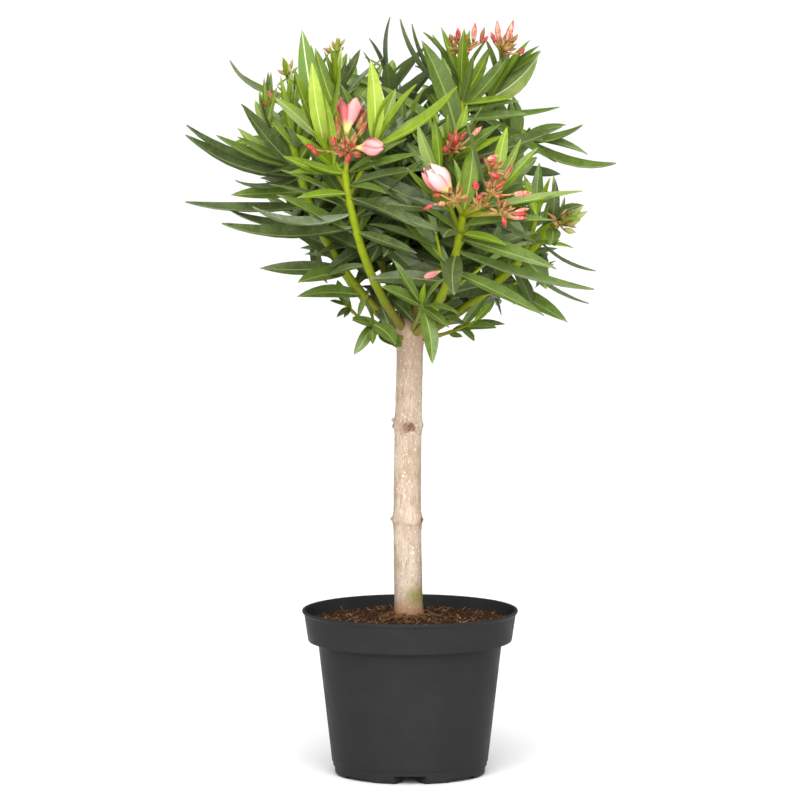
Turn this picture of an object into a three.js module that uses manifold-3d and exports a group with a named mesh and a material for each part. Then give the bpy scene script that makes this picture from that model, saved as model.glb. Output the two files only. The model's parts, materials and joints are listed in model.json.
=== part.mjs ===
// A potted oleander grown as a small standard tree: a black nursery pot filled with soil, a bare pale stem,
// and a round flowering crown of narrow leaves that stand in threes round each shoot.
// Units are millimetres, +Z is up, -Y is the front, and the origin is the middle of the pot's flat underside.
import * as THREE from "three";
import { mergeVertices } from "three/addons/utils/BufferGeometryUtils.js";
import Module from "manifold-3d";

const wasm = await Module();
wasm.setup();

// ---------------------------------------------------------------- driving dimensions

const GAP = 0.3; // clearance between neighbouring solids
const POT_HEIGHT = 161;
const POT_SIDES = 36;
const WALL = 1.6; // wall thickness of the pot
const LIP_RADIUS = 105.3;
const BAND_RADIUS = [99.5, 103.4]; // the deep rim band, at its lower and upper edge
const BAND_FOOT = 130.6; // height of the band's lower edge
const BODY_RADIUS = [76.3, 90]; // the tapered wall, at the seam and under the band
const SEAM = 12.5; // height of the seam above the standing ring
const RING_RADIUS = [59, 72]; // flat standing ring under the pot
const PAD_RADIUS = 18; // flat standing pad in the middle of the underside
const UNDERSIDE = 8; // height of the raised underside between pad and ring
const FLOOR = 10.6; // height of the floor inside the pot
const CORNER = 2.8; // how far the pot's lower corners are cut back
const SEAM_STEP = 0.8;
const BAND_TOP = 157; // height where the band meets the lip
const LIP_ROUND = 0.7;
const NOTCH = { count: 4, width: 34, height: 8, depth: 5 }; // drainage notches in the standing ring
const CHANNEL = { foot: 24, top: 15, height: 6.5 }; // the narrower way through the ring behind each notch
const RECESS = { count: 4, width: 23, height: 2.4, depth: 40 }; // shallow recesses halfway between the notches
const DRAIN = { radius: 4.5, at: 48, sides: 10 }; // drain holes through the floor, one behind each notch

const SOIL_TOP = 150.5; // height of the soil at the pot wall
const SOIL_MOUND = 2.5; // how far the soil rises towards the stem
const SOIL_EDGE = 2; // how far the soil falls away at the pot wall
const STEM_SEAT = 3; // depth of the shallow seat that the stem stands in

const TRUNK_TOP = 452;
const TRUNK_FLARE = 17.5; // radius of the root flare at the soil
const TRUNK_FLARE_REACH = 6;
const TRUNK_RADIUS = [14.2, 12.9]; // radius above the flare and under the head
const TRUNK_SWAY = { start: -1, amount: 1.6, turns: 4.2 }; // how the stem wanders sideways
const TRUNK_KNOTS = [249, 342]; // heights of the old pruning rings
const KNOT = { swell: 1.4, reach: 6 };
const HEAD = { height: 438, radius: 16, reach: 14, top: 8.8 }; // the knuckle that the boughs spring from
const TRUNK_SIDES = 14;
// Heights of the trunk's rings over its foot. They crowd together at the flare, the knots and the head.
const TRUNK_RINGS = [
  0, 2.5, 6, 14, 30, 60, 88, 94, 99, 105, 111, 140, 181, 187, 192, 198, 204, 235, 262, 275, 288, 296,
];

const BOUGH_RADIUS = [4.6, 1.8]; // from the head to the shoot's tip
const BOUGH_SIDES = 6;
const BOUGH_STEPS = 5;
const TWIG_SIDES = { stem: 4, side: 3 };
const TWIG_STEPS = { stem: 6, side: 3 };
const TRACK_STEPS = 14; // pieces that a limb's curve is cut into where distances to it are measured
const BOUGH_TAPER = 0.8; // a power below 1 thins the limb faster near its foot
const SIDE_SHOOT_RADIUS = [2.4, 1.4];
const SIDE_SHOOT = { whorls: 3, leafy: 0.45, young: 0.45, size: 0.95, arch: 6, turn: 40 };

// Angles are in degrees. A pair runs from the lowest leaves of a shoot to the youngest at its tip.
const LEAF = {
  length: 114,
  shorten: 0.42, // share of the length that the youngest leaves lack
  vary: [0.86, 1.1], // spread of the length from leaf to leaf
  widthShare: 0.18,
  widthLeast: 1.5,
  thickness: 1.6,
  dish: 0.08, // how far the edges rise over the midrib, as a share of the width
  widths: [[0.3, 0.9], [0.66, 0.88]], // place along the leaf, and width there
  lean: [94, 26], // between the shoot and the leaf
  leanPower: 1.25,
  leanVary: 14,
  bend: [26, 4], // turn from root to tip
  bendVary: 44,
  twistVary: 50,
  swingVary: 16,
  last: 0.985, // place of the topmost whorl on the shoot
  crowding: 0.85, // a power below 1 brings the whorls closer together towards the tip
  shortest: 30,
};
const WHORL = { leaves: 3, step: 120, offset: 60 };
const SHORTER = [1, 0.84, 0.7, 0.56, 0.42]; // lengths tried for a leaf that doesn't fit
const TILTS = [0, -16, 16]; // and leans tried at each length
const LIGHT = { front: [0.1, -0.8, 0.6], back: [-0.1, 0.8, 0.6], border: 55, pull: 0.9 };
const BUD = { length: 24, vary: [1, 1.45], radius: 3.1, belly: 0.7, lean: [12, 70], spiral: 2.4, root: 0.97 };
const SEED = 101;
const CLEAR_OF_TRUNK = 2.5;
const CLEAR_OF_LIMBS = 1.5;
const HALF_CLEARANCE = 1; // how much nearer to its own limb a leaf stays than to any other

// The limbs of the crown. Each is one curve from the trunk to tip. spread and rise place its bend, foot is the
// height of its foot on the trunk, split is the share of the curve that is bare bough, and leafy the share where
// leaves begin. turn is the bearing of the lowest leaf, in degrees from +X, and size scales the leaves. young is
// above 0 where even the lowest leaves are young, and sides are short side shoots.
const LIMBS = [
  { name: "front_left", tip: [-63, -80, 598], spread: 0.76, rise: 0.33, foot: 430, split: 0.24, leafy: 0.27,
    whorls: 9, turn: 182, size: 1.0, buds: 8,
    sides: [{ at: 0.86, tip: [-34, -88, 622] }, { at: 0.88, tip: [-86, -84, 628] }] },
  { name: "left", tip: [-113, -22, 618], spread: 0.8, rise: 0.36, foot: 428, split: 0.3, leafy: 0.33,
    whorls: 9, turn: 170, size: 1.08, buds: 6, sides: [{ at: 0.82, tip: [-138, -14, 636] }] },
  { name: "back_left", tip: [-74, 50, 670], spread: 0.7, rise: 0.4, foot: 441, split: 0.3, leafy: 0.33,
    whorls: 9, turn: 150, size: 0.98, buds: 4, sides: [{ at: 0.7, tip: [-118, 58, 660] }] },
  { name: "back_center", tip: [-20, 82, 680], spread: 0.75, rise: 0.4, foot: 443, split: 0.36, leafy: 0.42,
    whorls: 8, turn: 84, size: 1.05, buds: 0, sides: [] },
  { name: "top_right", tip: [51, 8, 678], spread: 0.9, rise: 0.42, foot: 443, split: 0.3, leafy: 0.33,
    whorls: 10, turn: 4, size: 1.0, buds: 9, sides: [{ at: 0.72, tip: [92, 18, 682] }] },
  { name: "front_right", tip: [51, -100, 562], spread: 0.8, rise: 0.3, foot: 429, split: 0.28, leafy: 0.32,
    whorls: 8, turn: 330, size: 0.96, buds: 10,
    sides: [{ at: 0.84, tip: [84, -104, 586] }, { at: 0.86, tip: [28, -108, 590] }] },
  { name: "mid_right", tip: [37, -46, 606], spread: 0.8, rise: 0.3, foot: 444, split: 0.36, leafy: 0.42,
    whorls: 7, turn: 60, size: 0.9, buds: 7, sides: [] },
  { name: "right", tip: [140, -22, 541], spread: 0.52, rise: 0.32, foot: 424, split: 0.32, leafy: 0.36,
    whorls: 8, turn: 350, size: 0.72, buds: 4, sides: [{ at: 0.72, tip: [122, -46, 552] }] },
  { name: "back_right", tip: [110, 60, 626], spread: 0.75, rise: 0.36, foot: 441, split: 0.32, leafy: 0.38,
    whorls: 9, turn: 10, size: 1.1, buds: 5, sides: [] },
  { name: "center", tip: [-10, -12, 612], spread: 0.7, rise: 0.5, foot: 450, split: 0.32, leafy: 0.38,
    whorls: 7, turn: 200, size: 1.05, buds: 0, sides: [] },
  { name: "back", tip: [-8, 132, 598], spread: 0.75, rise: 0.34, foot: 429, split: 0.32, leafy: 0.38,
    whorls: 8, turn: 90, size: 1.0, buds: 7, sides: [] },
  { name: "back_low_left", tip: [-100, 92, 556], spread: 0.7, rise: 0.3, foot: 428, split: 0.3, leafy: 0.36,
    whorls: 8, turn: 160, size: 0.86, buds: 5, sides: [] },
  { name: "back_low_right", tip: [92, 108, 552], spread: 0.7, rise: 0.3, foot: 428, split: 0.3, leafy: 0.36,
    whorls: 8, turn: 50, size: 0.86, buds: 5, sides: [] },
  { name: "low_center", tip: [12, -84, 468], spread: 0.5, rise: 0.4, foot: 418, split: 0, leafy: 0.4,
    whorls: 4, turn: 30, size: 0.74, young: 0.2, buds: 0, sides: [] },
  { name: "low_left", tip: [-38, -58, 448], spread: 0.55, rise: 0.5, foot: 412, split: 0, leafy: 0.45,
    whorls: 4, turn: 100, size: 0.6, young: 0.2, buds: 0, sides: [] },
  { name: "low_side", tip: [-66, 10, 462], spread: 0.55, rise: 0.4, foot: 412, split: 0, leafy: 0.5,
    whorls: 4, turn: 170, size: 0.55, young: 0.3, buds: 0, sides: [] },
  { name: "low_right", tip: [62, -30, 446], spread: 0.6, rise: 0.35, foot: 408, split: 0, leafy: 0.45,
    whorls: 5, turn: 320, size: 0.5, young: 0.35, buds: 0, sides: [] },
  { name: "low_back", tip: [24, 64, 452], spread: 0.55, rise: 0.4, foot: 412, split: 0, leafy: 0.45,
    whorls: 4, turn: 80, size: 0.6, young: 0.3, buds: 0, sides: [] },
];

const COLOUR = {
  pot: [0x2b2b2c, 0.55],
  soil: [0x3d2a1c, 0.95],
  bark: [0xc9ab88, 0.8],
  bough: [0x7d9420, 0.6],
  leaves: [0x4c7a2c, 0.55],
};

// ---------------------------------------------------------------- solids

// A three.js geometry as a solid. Faces that fold to a line on the axis are dropped.
function solidOf(geometry) {
  const bare = geometry.clone();
  bare.deleteAttribute("normal");
  bare.deleteAttribute("uv");
  const merged = mergeVertices(bare, 1e-4);
  const at = merged.index.array;
  const faces = [];
  for (let i = 0; i < at.length; i += 3) {
    const face = [at[i], at[i + 1], at[i + 2]];
    if (new Set(face).size === 3) {
      faces.push(...face);
    }
  }
  const vertProperties = merged.attributes.position.array;
  const make = (order) =>
    new wasm.Manifold(new wasm.Mesh({ numProp: 3, vertProperties, triVerts: new Uint32Array(order) }));
  const made = make(faces);
  return made.volume() > 0 ? made : make([...faces].reverse());
}

function meshOf(name, solid, [colour, roughness]) {
  const { numProp, numVert, vertProperties, triVerts } = solid.getMesh();
  const position = new Float32Array(numVert * 3);
  for (let i = 0; i < numVert; i++) {
    position.set(vertProperties.subarray(i * numProp, i * numProp + 3), i * 3);
  }
  const geometry = new THREE.BufferGeometry()
    .setAttribute("position", new THREE.BufferAttribute(position, 3))
    .setIndex(new THREE.BufferAttribute(triVerts, 1));
  geometry.computeVertexNormals();
  const material = new THREE.MeshStandardMaterial({ color: colour, roughness, metalness: 0 });
  const mesh = new THREE.Mesh(geometry, material);
  mesh.name = name;
  return mesh;
}

// A closed skin over rings of equal count. A ring of one point is a tip.
function loft(rings) {
  const points = rings.flat();
  const start = rings.map((_, i) => rings.slice(0, i).reduce((sum, ring) => sum + ring.length, 0));
  const faces = [];
  rings.slice(1).forEach((upper, i) => {
    const lower = rings[i];
    const sides = Math.max(lower.length, upper.length);
    for (let k = 0; k < sides; k++) {
      const next = (k + 1) % sides;
      const [a, b] = [start[i] + (k % lower.length), start[i] + (next % lower.length)];
      const [c, d] = [start[i + 1] + (k % upper.length), start[i + 1] + (next % upper.length)];
      if (lower.length > 1) {
        faces.push(a, b, d);
      }
      if (upper.length > 1) {
        faces.push(a, d, c);
      }
    }
  });
  for (const [i, turned] of [[0, true], [rings.length - 1, false]]) {
    for (let k = 1; k + 1 < rings[i].length; k++) {
      const [a, b, c] = [start[i], start[i] + k, start[i] + k + 1];
      faces.push(...(turned ? [a, c, b] : [a, b, c]));
    }
  }
  const geometry = new THREE.BufferGeometry().setFromPoints(points);
  geometry.setIndex(faces);
  return solidOf(geometry);
}

function ringAt(centre, across, along, radius, sides) {
  return Array.from({ length: sides }, (_, k) => {
    const angle = (2 * Math.PI * k) / sides;
    return centre
      .clone()
      .addScaledVector(across, radius * Math.cos(angle))
      .addScaledVector(along, radius * Math.sin(angle));
  });
}

// A tapering limb round the stretch from share a to share b of a curve. fat widens it all over.
function limbSolid(curve, [a, b], radius, sides, steps, fat = 0) {
  const frames = curve.computeFrenetFrames(steps, false);
  const rings = [];
  for (let i = 0; i <= steps; i++) {
    const share = THREE.MathUtils.lerp(a, b, i / steps);
    const frame = Math.round(share * steps);
    const tangent = curve.getTangentAt(share);
    const across = frames.normals[frame].clone().addScaledVector(tangent, -frames.normals[frame].dot(tangent));
    across.normalize();
    const along = new THREE.Vector3().crossVectors(tangent, across);
    rings.push(ringAt(curve.getPointAt(share), across, along, radius(share) + fat, sides));
  }
  return loft(rings);
}

function biggestPiece(solid) {
  return solid.decompose().sort((p, q) => q.volume() - p.volume())[0];
}

// ---------------------------------------------------------------- pot and soil

function latheSolid(profile, sides) {
  const points = profile.map(([radius, height]) => new THREE.Vector2(radius, height));
  return solidOf(new THREE.LatheGeometry(points, sides).rotateX(Math.PI / 2));
}

const turned = (geometry, angle) => solidOf(geometry.rotateZ(angle));

function wallRadius(height, inset) {
  return THREE.MathUtils.mapLinear(height, SEAM, BAND_FOOT, ...BODY_RADIUS) - inset;
}

function bandRadius(height, inset) {
  return THREE.MathUtils.mapLinear(height, BAND_FOOT, BAND_TOP, ...BAND_RADIUS) - inset;
}

// The corner inside the pot between floor and wall, and the step inside behind the band. inset is measured from
// the outer faces, and lift from the floor and the step.
function innerProfile(inset, lift) {
  return [
    [0, FLOOR + lift],
    [wallRadius(FLOOR, inset + CORNER), FLOOR + lift],
    [wallRadius(FLOOR + CORNER, inset), FLOOR + CORNER],
    [BODY_RADIUS[1] - inset, BAND_FOOT + WALL + lift],
    [BAND_RADIUS[0] - WALL - inset, BAND_FOOT + WALL + lift],
    [bandRadius(BAND_FOOT, inset), BAND_FOOT + 2 * WALL + lift],
  ];
}

function potSolid() {
  const shell = latheSolid(
    [
      [0, 0],
      [PAD_RADIUS, 0],
      [PAD_RADIUS + CORNER, UNDERSIDE],
      [RING_RADIUS[0] - CORNER, UNDERSIDE],
      [RING_RADIUS[0], 0],
      [RING_RADIUS[1], 0],
      [RING_RADIUS[1] + CORNER, CORNER],
      [BODY_RADIUS[0] - SEAM_STEP, SEAM - SEAM_STEP],
      [BODY_RADIUS[0], SEAM],
      [BODY_RADIUS[1], BAND_FOOT],
      [BAND_RADIUS[0] - SEAM_STEP, BAND_FOOT],
      [BAND_RADIUS[0], BAND_FOOT + SEAM_STEP],
      [BAND_RADIUS[1], BAND_TOP],
      [LIP_RADIUS, BAND_TOP + 2 * LIP_ROUND],
      [LIP_RADIUS, POT_HEIGHT - LIP_ROUND],
      [LIP_RADIUS - LIP_ROUND, POT_HEIGHT],
      [BAND_RADIUS[1] - LIP_ROUND, POT_HEIGHT],
      [bandRadius(BAND_TOP, WALL), BAND_TOP],
      ...innerProfile(WALL, 0).reverse(),
    ],
    POT_SIDES,
  );
  const notchReach = RING_RADIUS[1] + CORNER + NOTCH.depth;
  const notchDepth = 2 * NOTCH.depth + CORNER;
  const channelStart = PAD_RADIUS + CORNER;
  const [foot, top] = [CHANNEL.foot / 2, CHANNEL.top / 2];
  const outline = [[-foot, -CORNER], [foot, -CORNER], [top, CHANNEL.height], [-top, CHANNEL.height]];
  const section = new THREE.Shape(outline.map(([x, y]) => new THREE.Vector2(x, y)));
  const cutters = [];
  for (let i = 0; i < NOTCH.count; i++) {
    const angle = (2 * Math.PI * i) / NOTCH.count;
    const notch = new THREE.BoxGeometry(notchDepth, NOTCH.width, 2 * NOTCH.height).translate(notchReach, 0, 0);
    const channel = new THREE.ExtrudeGeometry(section, { depth: notchReach - channelStart, bevelEnabled: false })
      .rotateX(Math.PI / 2)
      .rotateZ(Math.PI / 2)
      .translate(channelStart, 0, 0);
    const drain = new THREE.CylinderGeometry(DRAIN.radius, DRAIN.radius, 2 * (FLOOR + CORNER), DRAIN.sides)
      .rotateX(Math.PI / 2)
      .translate(DRAIN.at, 0, 0);
    cutters.push(turned(notch, angle), turned(channel, angle), turned(drain, angle));
  }
  for (let i = 0; i < RECESS.count; i++) {
    const angle = (2 * Math.PI * (i + 0.5)) / RECESS.count;
    const recess = new THREE.BoxGeometry(RECESS.depth, RECESS.width, 2 * RECESS.height);
    cutters.push(turned(recess.translate(RING_RADIUS[1], 0, 0), angle));
  }
  return cutters.reduce((pot, cutter) => pot.subtract(cutter), shell);
}

function soilSolid(trunkSeat) {
  const inset = WALL + GAP;
  const heap = latheSolid(
    [
      ...innerProfile(inset, GAP),
      [bandRadius(SOIL_TOP - SOIL_EDGE, inset), SOIL_TOP - SOIL_EDGE],
      [bandRadius(SOIL_TOP, inset + 2 * SOIL_EDGE), SOIL_TOP],
      [LIP_RADIUS / 2, SOIL_TOP + SOIL_MOUND / 2],
      [TRUNK_FLARE + SOIL_EDGE, SOIL_TOP + SOIL_MOUND],
      [0, SOIL_TOP + SOIL_MOUND],
    ],
    POT_SIDES,
  );
  return heap.subtract(trunkSeat);
}

// ---------------------------------------------------------------- trunk

const TRUNK_FOOT = SOIL_TOP + SOIL_MOUND - STEM_SEAT + GAP;

const bump = (x) => Math.exp(-x * x);

function trunkRadius(height) {
  const above = height - TRUNK_FOOT;
  const taper = THREE.MathUtils.mapLinear(height, TRUNK_FOOT, HEAD.height, ...TRUNK_RADIUS);
  const flare = (TRUNK_FLARE - TRUNK_RADIUS[0]) * Math.exp(-above / TRUNK_FLARE_REACH);
  const swell = TRUNK_KNOTS.reduce((sum, knot) => sum + KNOT.swell * bump((height - knot) / KNOT.reach), 0);
  const head = (HEAD.radius - TRUNK_RADIUS[1]) * bump((height - HEAD.height) / HEAD.reach);
  return taper + flare + swell + head;
}

function trunkCentre(height) {
  const share = (height - TRUNK_FOOT) / (TRUNK_TOP - TRUNK_FOOT);
  const sway = TRUNK_SWAY.amount * Math.sin(share * TRUNK_SWAY.turns);
  return new THREE.Vector3(TRUNK_SWAY.start - sway, sway / 2, height);
}

function trunkSolid(fat = 0) {
  const across = new THREE.Vector3(1, 0, 0);
  const along = new THREE.Vector3(0, 1, 0);
  const rings = TRUNK_RINGS.map((rise) => {
    const height = TRUNK_FOOT + rise;
    return ringAt(trunkCentre(height), across, along, trunkRadius(height) + fat, TRUNK_SIDES);
  });
  rings.push(ringAt(trunkCentre(TRUNK_TOP + fat), across, along, HEAD.top + fat, TRUNK_SIDES));
  return loft(rings);
}

// ---------------------------------------------------------------- limbs

// A small seeded generator, so that the crown is the same each time.
function seeded(seed) {
  let state = seed | 0;
  return () => {
    state = (state + 0x6d2b79f5) | 0;
    let t = Math.imul(state ^ (state >>> 15), 1 | state);
    t = (t + Math.imul(t ^ (t >>> 7), 61 | t)) ^ t;
    return ((t ^ (t >>> 14)) >>> 0) / 4294967296;
  };
}

function limbCurve({ tip, spread, rise, foot }) {
  const start = trunkCentre(foot);
  const end = new THREE.Vector3(...tip);
  const bend = new THREE.Vector3(
    THREE.MathUtils.lerp(start.x, end.x, spread),
    THREE.MathUtils.lerp(start.y, end.y, spread),
    THREE.MathUtils.lerp(start.z, end.z, rise),
  );
  return new THREE.QuadraticBezierCurve3(start, bend, end);
}

function sideCurve(parent, { at, tip }) {
  const start = parent.getPointAt(at);
  const end = new THREE.Vector3(...tip);
  const bend = start.clone().lerp(end, 0.5).addScaledVector(parent.getTangentAt(at), SIDE_SHOOT.arch);
  bend.z -= SIDE_SHOOT.arch;
  return new THREE.QuadraticBezierCurve3(start, bend, end);
}

const boughRadius = (share) => THREE.MathUtils.lerp(...BOUGH_RADIUS, share ** BOUGH_TAPER);
const sideRadius = (share) => THREE.MathUtils.lerp(...SIDE_SHOOT_RADIUS, share);

for (const limb of LIMBS) {
  limb.curve = limbCurve(limb);
  limb.sideCurves = limb.sides.map((side) => sideCurve(limb.curve, side));
  limb.track = [limb.curve, ...limb.sideCurves].map((curve) => curve.getSpacedPoints(TRACK_STEPS));
}

const segment = new THREE.Line3();
const nearest = new THREE.Vector3();

function distanceToTracks(point, tracks) {
  let least = Infinity;
  for (const track of tracks) {
    for (let i = 1; i < track.length; i++) {
      segment.set(track[i - 1], track[i]).closestPointToPoint(point, true, nearest);
      least = Math.min(least, nearest.distanceTo(point));
    }
  }
  return least;
}

// A mass keeps to the space that lies nearer to its own limb than to any other, clear of the trunk.
function keepsToItsSpace(limb, point) {
  const own = distanceToTracks(point, limb.track);
  const centre = trunkCentre(point.z);
  const aside = Math.hypot(point.x - centre.x, point.y - centre.y);
  if (point.z < TRUNK_TOP + CLEAR_OF_TRUNK && aside < HEAD.radius + CLEAR_OF_TRUNK) {
    return false;
  }
  return LIMBS.every((other) => {
    const away = other === limb ? Infinity : distanceToTracks(point, other.track);
    return own + HALF_CLEARANCE < away && away > BOUGH_RADIUS[0] + CLEAR_OF_LIMBS;
  });
}

// ---------------------------------------------------------------- leaves and buds

const radians = THREE.MathUtils.degToRad;
const lerp = THREE.MathUtils.lerp;
const LIGHT_FRONT = new THREE.Vector3(...LIGHT.front);
const LIGHT_BACK = new THREE.Vector3(...LIGHT.back);

// The frame of one leaf on a shoot: its root, its first heading, and the way that its upper face looks. The face
// turns some way to the light outside the crown.
function leafFrame(root, axis, bearing, lean, twist) {
  const right = new THREE.Vector3(1, 0, 0).addScaledVector(axis, -axis.x).normalize();
  const away = new THREE.Vector3().crossVectors(axis, right);
  const out = right.multiplyScalar(Math.cos(bearing)).addScaledVector(away, Math.sin(bearing));
  const heading = axis.clone().multiplyScalar(Math.cos(lean)).addScaledVector(out, Math.sin(lean));
  const face = axis.clone().multiplyScalar(Math.sin(lean)).addScaledVector(out, -Math.cos(lean));
  face.addScaledVector(root.y < LIGHT.border ? LIGHT_FRONT : LIGHT_BACK, LIGHT.pull);
  face.addScaledVector(heading, -face.dot(heading)).normalize().applyAxisAngle(heading, twist);
  return { root, heading, face, side: new THREE.Vector3().crossVectors(heading, face) };
}

// A point of a leaf's midline at share s of its length, and its upper face's normal there. The midline is an arc.
function alongLeaf({ root, heading, face }, length, bend, s) {
  const turn = bend * s;
  const flat = Math.abs(bend) < 1e-3;
  const ahead = flat ? length * s : (length * Math.sin(turn)) / bend;
  const down = flat ? 0 : (length * (1 - Math.cos(turn))) / bend;
  const point = root.clone().addScaledVector(heading, ahead).addScaledVector(face, -down);
  const normal = face.clone().multiplyScalar(Math.cos(turn)).addScaledVector(heading, Math.sin(turn));
  return { point, normal };
}

// A leaf runs from a root point through sections of left edge, right edge and keel to its tip.
function leafRings(frame, length, bend) {
  const width = length * LEAF.widthShare + LEAF.widthLeast;
  const sections = LEAF.widths.map(([s, share]) => {
    const { point, normal } = alongLeaf(frame, length, bend, s);
    const raised = point.clone().addScaledVector(normal, LEAF.dish * width * share);
    const reach = (width * share) / 2;
    const left = raised.clone().addScaledVector(frame.side, reach);
    const right = raised.clone().addScaledVector(frame.side, -reach);
    return [left, right, point.clone().addScaledVector(normal, -LEAF.thickness)];
  });
  return [[frame.root], ...sections, [alongLeaf(frame, length, bend, 1).point]];
}

// The points of a leaf that are tested: its corners, and the middles of its longer edges.
function samplesOf(rings) {
  const [, low, high, [tip]] = rings;
  const between = low.flatMap((point, i) => [point.clone().lerp(high[i], 0.5), high[i].clone().lerp(tip, 0.5)]);
  return [...low, ...high, tip, ...between];
}

// The draw of one leaf's shape from its place on the shoot: share is 0 at the lowest leaves and 1 at the tip.
function leafDraw(share, size, random) {
  const spread = (range) => radians(range * (random() - 0.5));
  return {
    lean: radians(lerp(...LEAF.lean, share ** LEAF.leanPower)) + spread(LEAF.leanVary),
    length: LEAF.length * size * (1 - LEAF.shorten * share ** 2) * lerp(...LEAF.vary, random()),
    bend: radians(lerp(...LEAF.bend, share)) + spread(LEAF.bendVary),
    twist: spread(LEAF.twistVary),
    swing: spread(LEAF.swingVary),
  };
}

// One leaf that keeps to the mass's space. It is tried at other leans and lengths, and then left out.
function fittingLeaf(limb, root, axis, bearing, drawn) {
  for (const shorter of SHORTER) {
    for (const tilt of TILTS) {
      const length = drawn.length * shorter;
      const frame = leafFrame(root, axis, bearing, drawn.lean + radians(tilt), drawn.twist);
      const rings = leafRings(frame, length, drawn.bend);
      if (length > LEAF.shortest && samplesOf(rings).every((spot) => keepsToItsSpace(limb, spot))) {
        return [loft(rings)];
      }
    }
  }
  return [];
}

// Whorls of leaves up a shoot, each turned against the one below. young is how old its lowest leaves are.
function whorls(limb, curve, { from, count, turn, size, young }, random) {
  const leaves = [];
  for (let i = 0; i < count; i++) {
    const up = (i / (count - 1)) ** LEAF.crowding;
    const place = lerp(from, LEAF.last, up);
    for (let k = 0; k < WHORL.leaves; k++) {
      const drawn = leafDraw(lerp(young, 1, up), size, random);
      const bearing = radians(turn + WHORL.offset * i + WHORL.step * k) + drawn.swing;
      leaves.push(...fittingLeaf(limb, curve.getPointAt(place), curve.getTangentAt(place), bearing, drawn));
    }
  }
  return leaves;
}

// Spindle buds that fan out of a shoot's tip.
function budCluster(limb, curve, count, random) {
  const buds = [];
  for (let i = 0; i < count; i++) {
    const lean = radians(lerp(...BUD.lean, Math.sqrt((i + 0.5) / count)));
    const length = BUD.length * lerp(...BUD.vary, random());
    const bearing = BUD.spiral * i + random();
    const frame = leafFrame(curve.getPointAt(BUD.root), curve.getTangentAt(1), bearing, lean, 0);
    const belly = frame.root.clone().addScaledVector(frame.heading, length * BUD.belly);
    const tip = frame.root.clone().addScaledVector(frame.heading, length);
    const ring = ringAt(belly, frame.face, frame.side, BUD.radius, 4);
    if ([...ring, tip].every((spot) => keepsToItsSpace(limb, spot))) {
      buds.push(loft([[frame.root], ring, [tip]]));
    }
  }
  return buds;
}

// ---------------------------------------------------------------- crown

function massSolid(limb, fatTrunk, seed) {
  const random = seeded(seed);
  const { curve, split, leafy, turn, size, young = 0 } = limb;
  const start = split > 0 ? split + GAP / curve.getLength() : 0;
  const parts = [limbSolid(curve, [start, 1], boughRadius, TWIG_SIDES.stem, TWIG_STEPS.stem)];
  parts.push(...whorls(limb, curve, { from: leafy, count: limb.whorls, turn, size, young }, random));
  limb.sideCurves.forEach((shoot, i) => {
    const side = {
      from: SIDE_SHOOT.leafy,
      count: SIDE_SHOOT.whorls,
      turn: turn + SIDE_SHOOT.turn * (i + 1),
      size: size * SIDE_SHOOT.size,
      young: SIDE_SHOOT.young,
    };
    parts.push(limbSolid(shoot, [0, 1], sideRadius, TWIG_SIDES.side, TWIG_STEPS.side));
    parts.push(...whorls(limb, shoot, side, random));
  });
  parts.push(...budCluster(limb, curve, limb.buds, random));
  const fused = parts.reduce((whole, part) => whole.add(part));
  return biggestPiece(split > 0 ? fused : fused.subtract(fatTrunk));
}

const plant = new THREE.Group();
const trunk = trunkSolid();
const fatTrunk = trunkSolid(GAP);
plant.add(meshOf("pot", potSolid(), COLOUR.pot));
plant.add(meshOf("soil", soilSolid(fatTrunk), COLOUR.soil));
plant.add(meshOf("trunk", trunk, COLOUR.bark));

const fatLimbs = [fatTrunk];
for (const limb of LIMBS.filter(({ split }) => split > 0)) {
  const stretch = [0, limb.split];
  const whole = limbSolid(limb.curve, stretch, boughRadius, BOUGH_SIDES, BOUGH_STEPS);
  const bough = fatLimbs.reduce((rest, other) => rest.subtract(other), whole);
  plant.add(meshOf(`bough_${limb.name}`, biggestPiece(bough), COLOUR.bough));
  fatLimbs.push(limbSolid(limb.curve, stretch, boughRadius, BOUGH_SIDES, BOUGH_STEPS, GAP));
}
LIMBS.forEach((limb, i) => {
  plant.add(meshOf(`leaves_${limb.name}`, massSolid(limb, fatTrunk, SEED + i), COLOUR.leaves));
});

export default plant;
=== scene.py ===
"""A potted oleander grown as a small standard tree: the looks over its solids."""

import functools
import itertools
import json
import math

import bpy
import numpy as np
from mathutils import Matrix, Quaternion, Vector, noise

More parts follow.
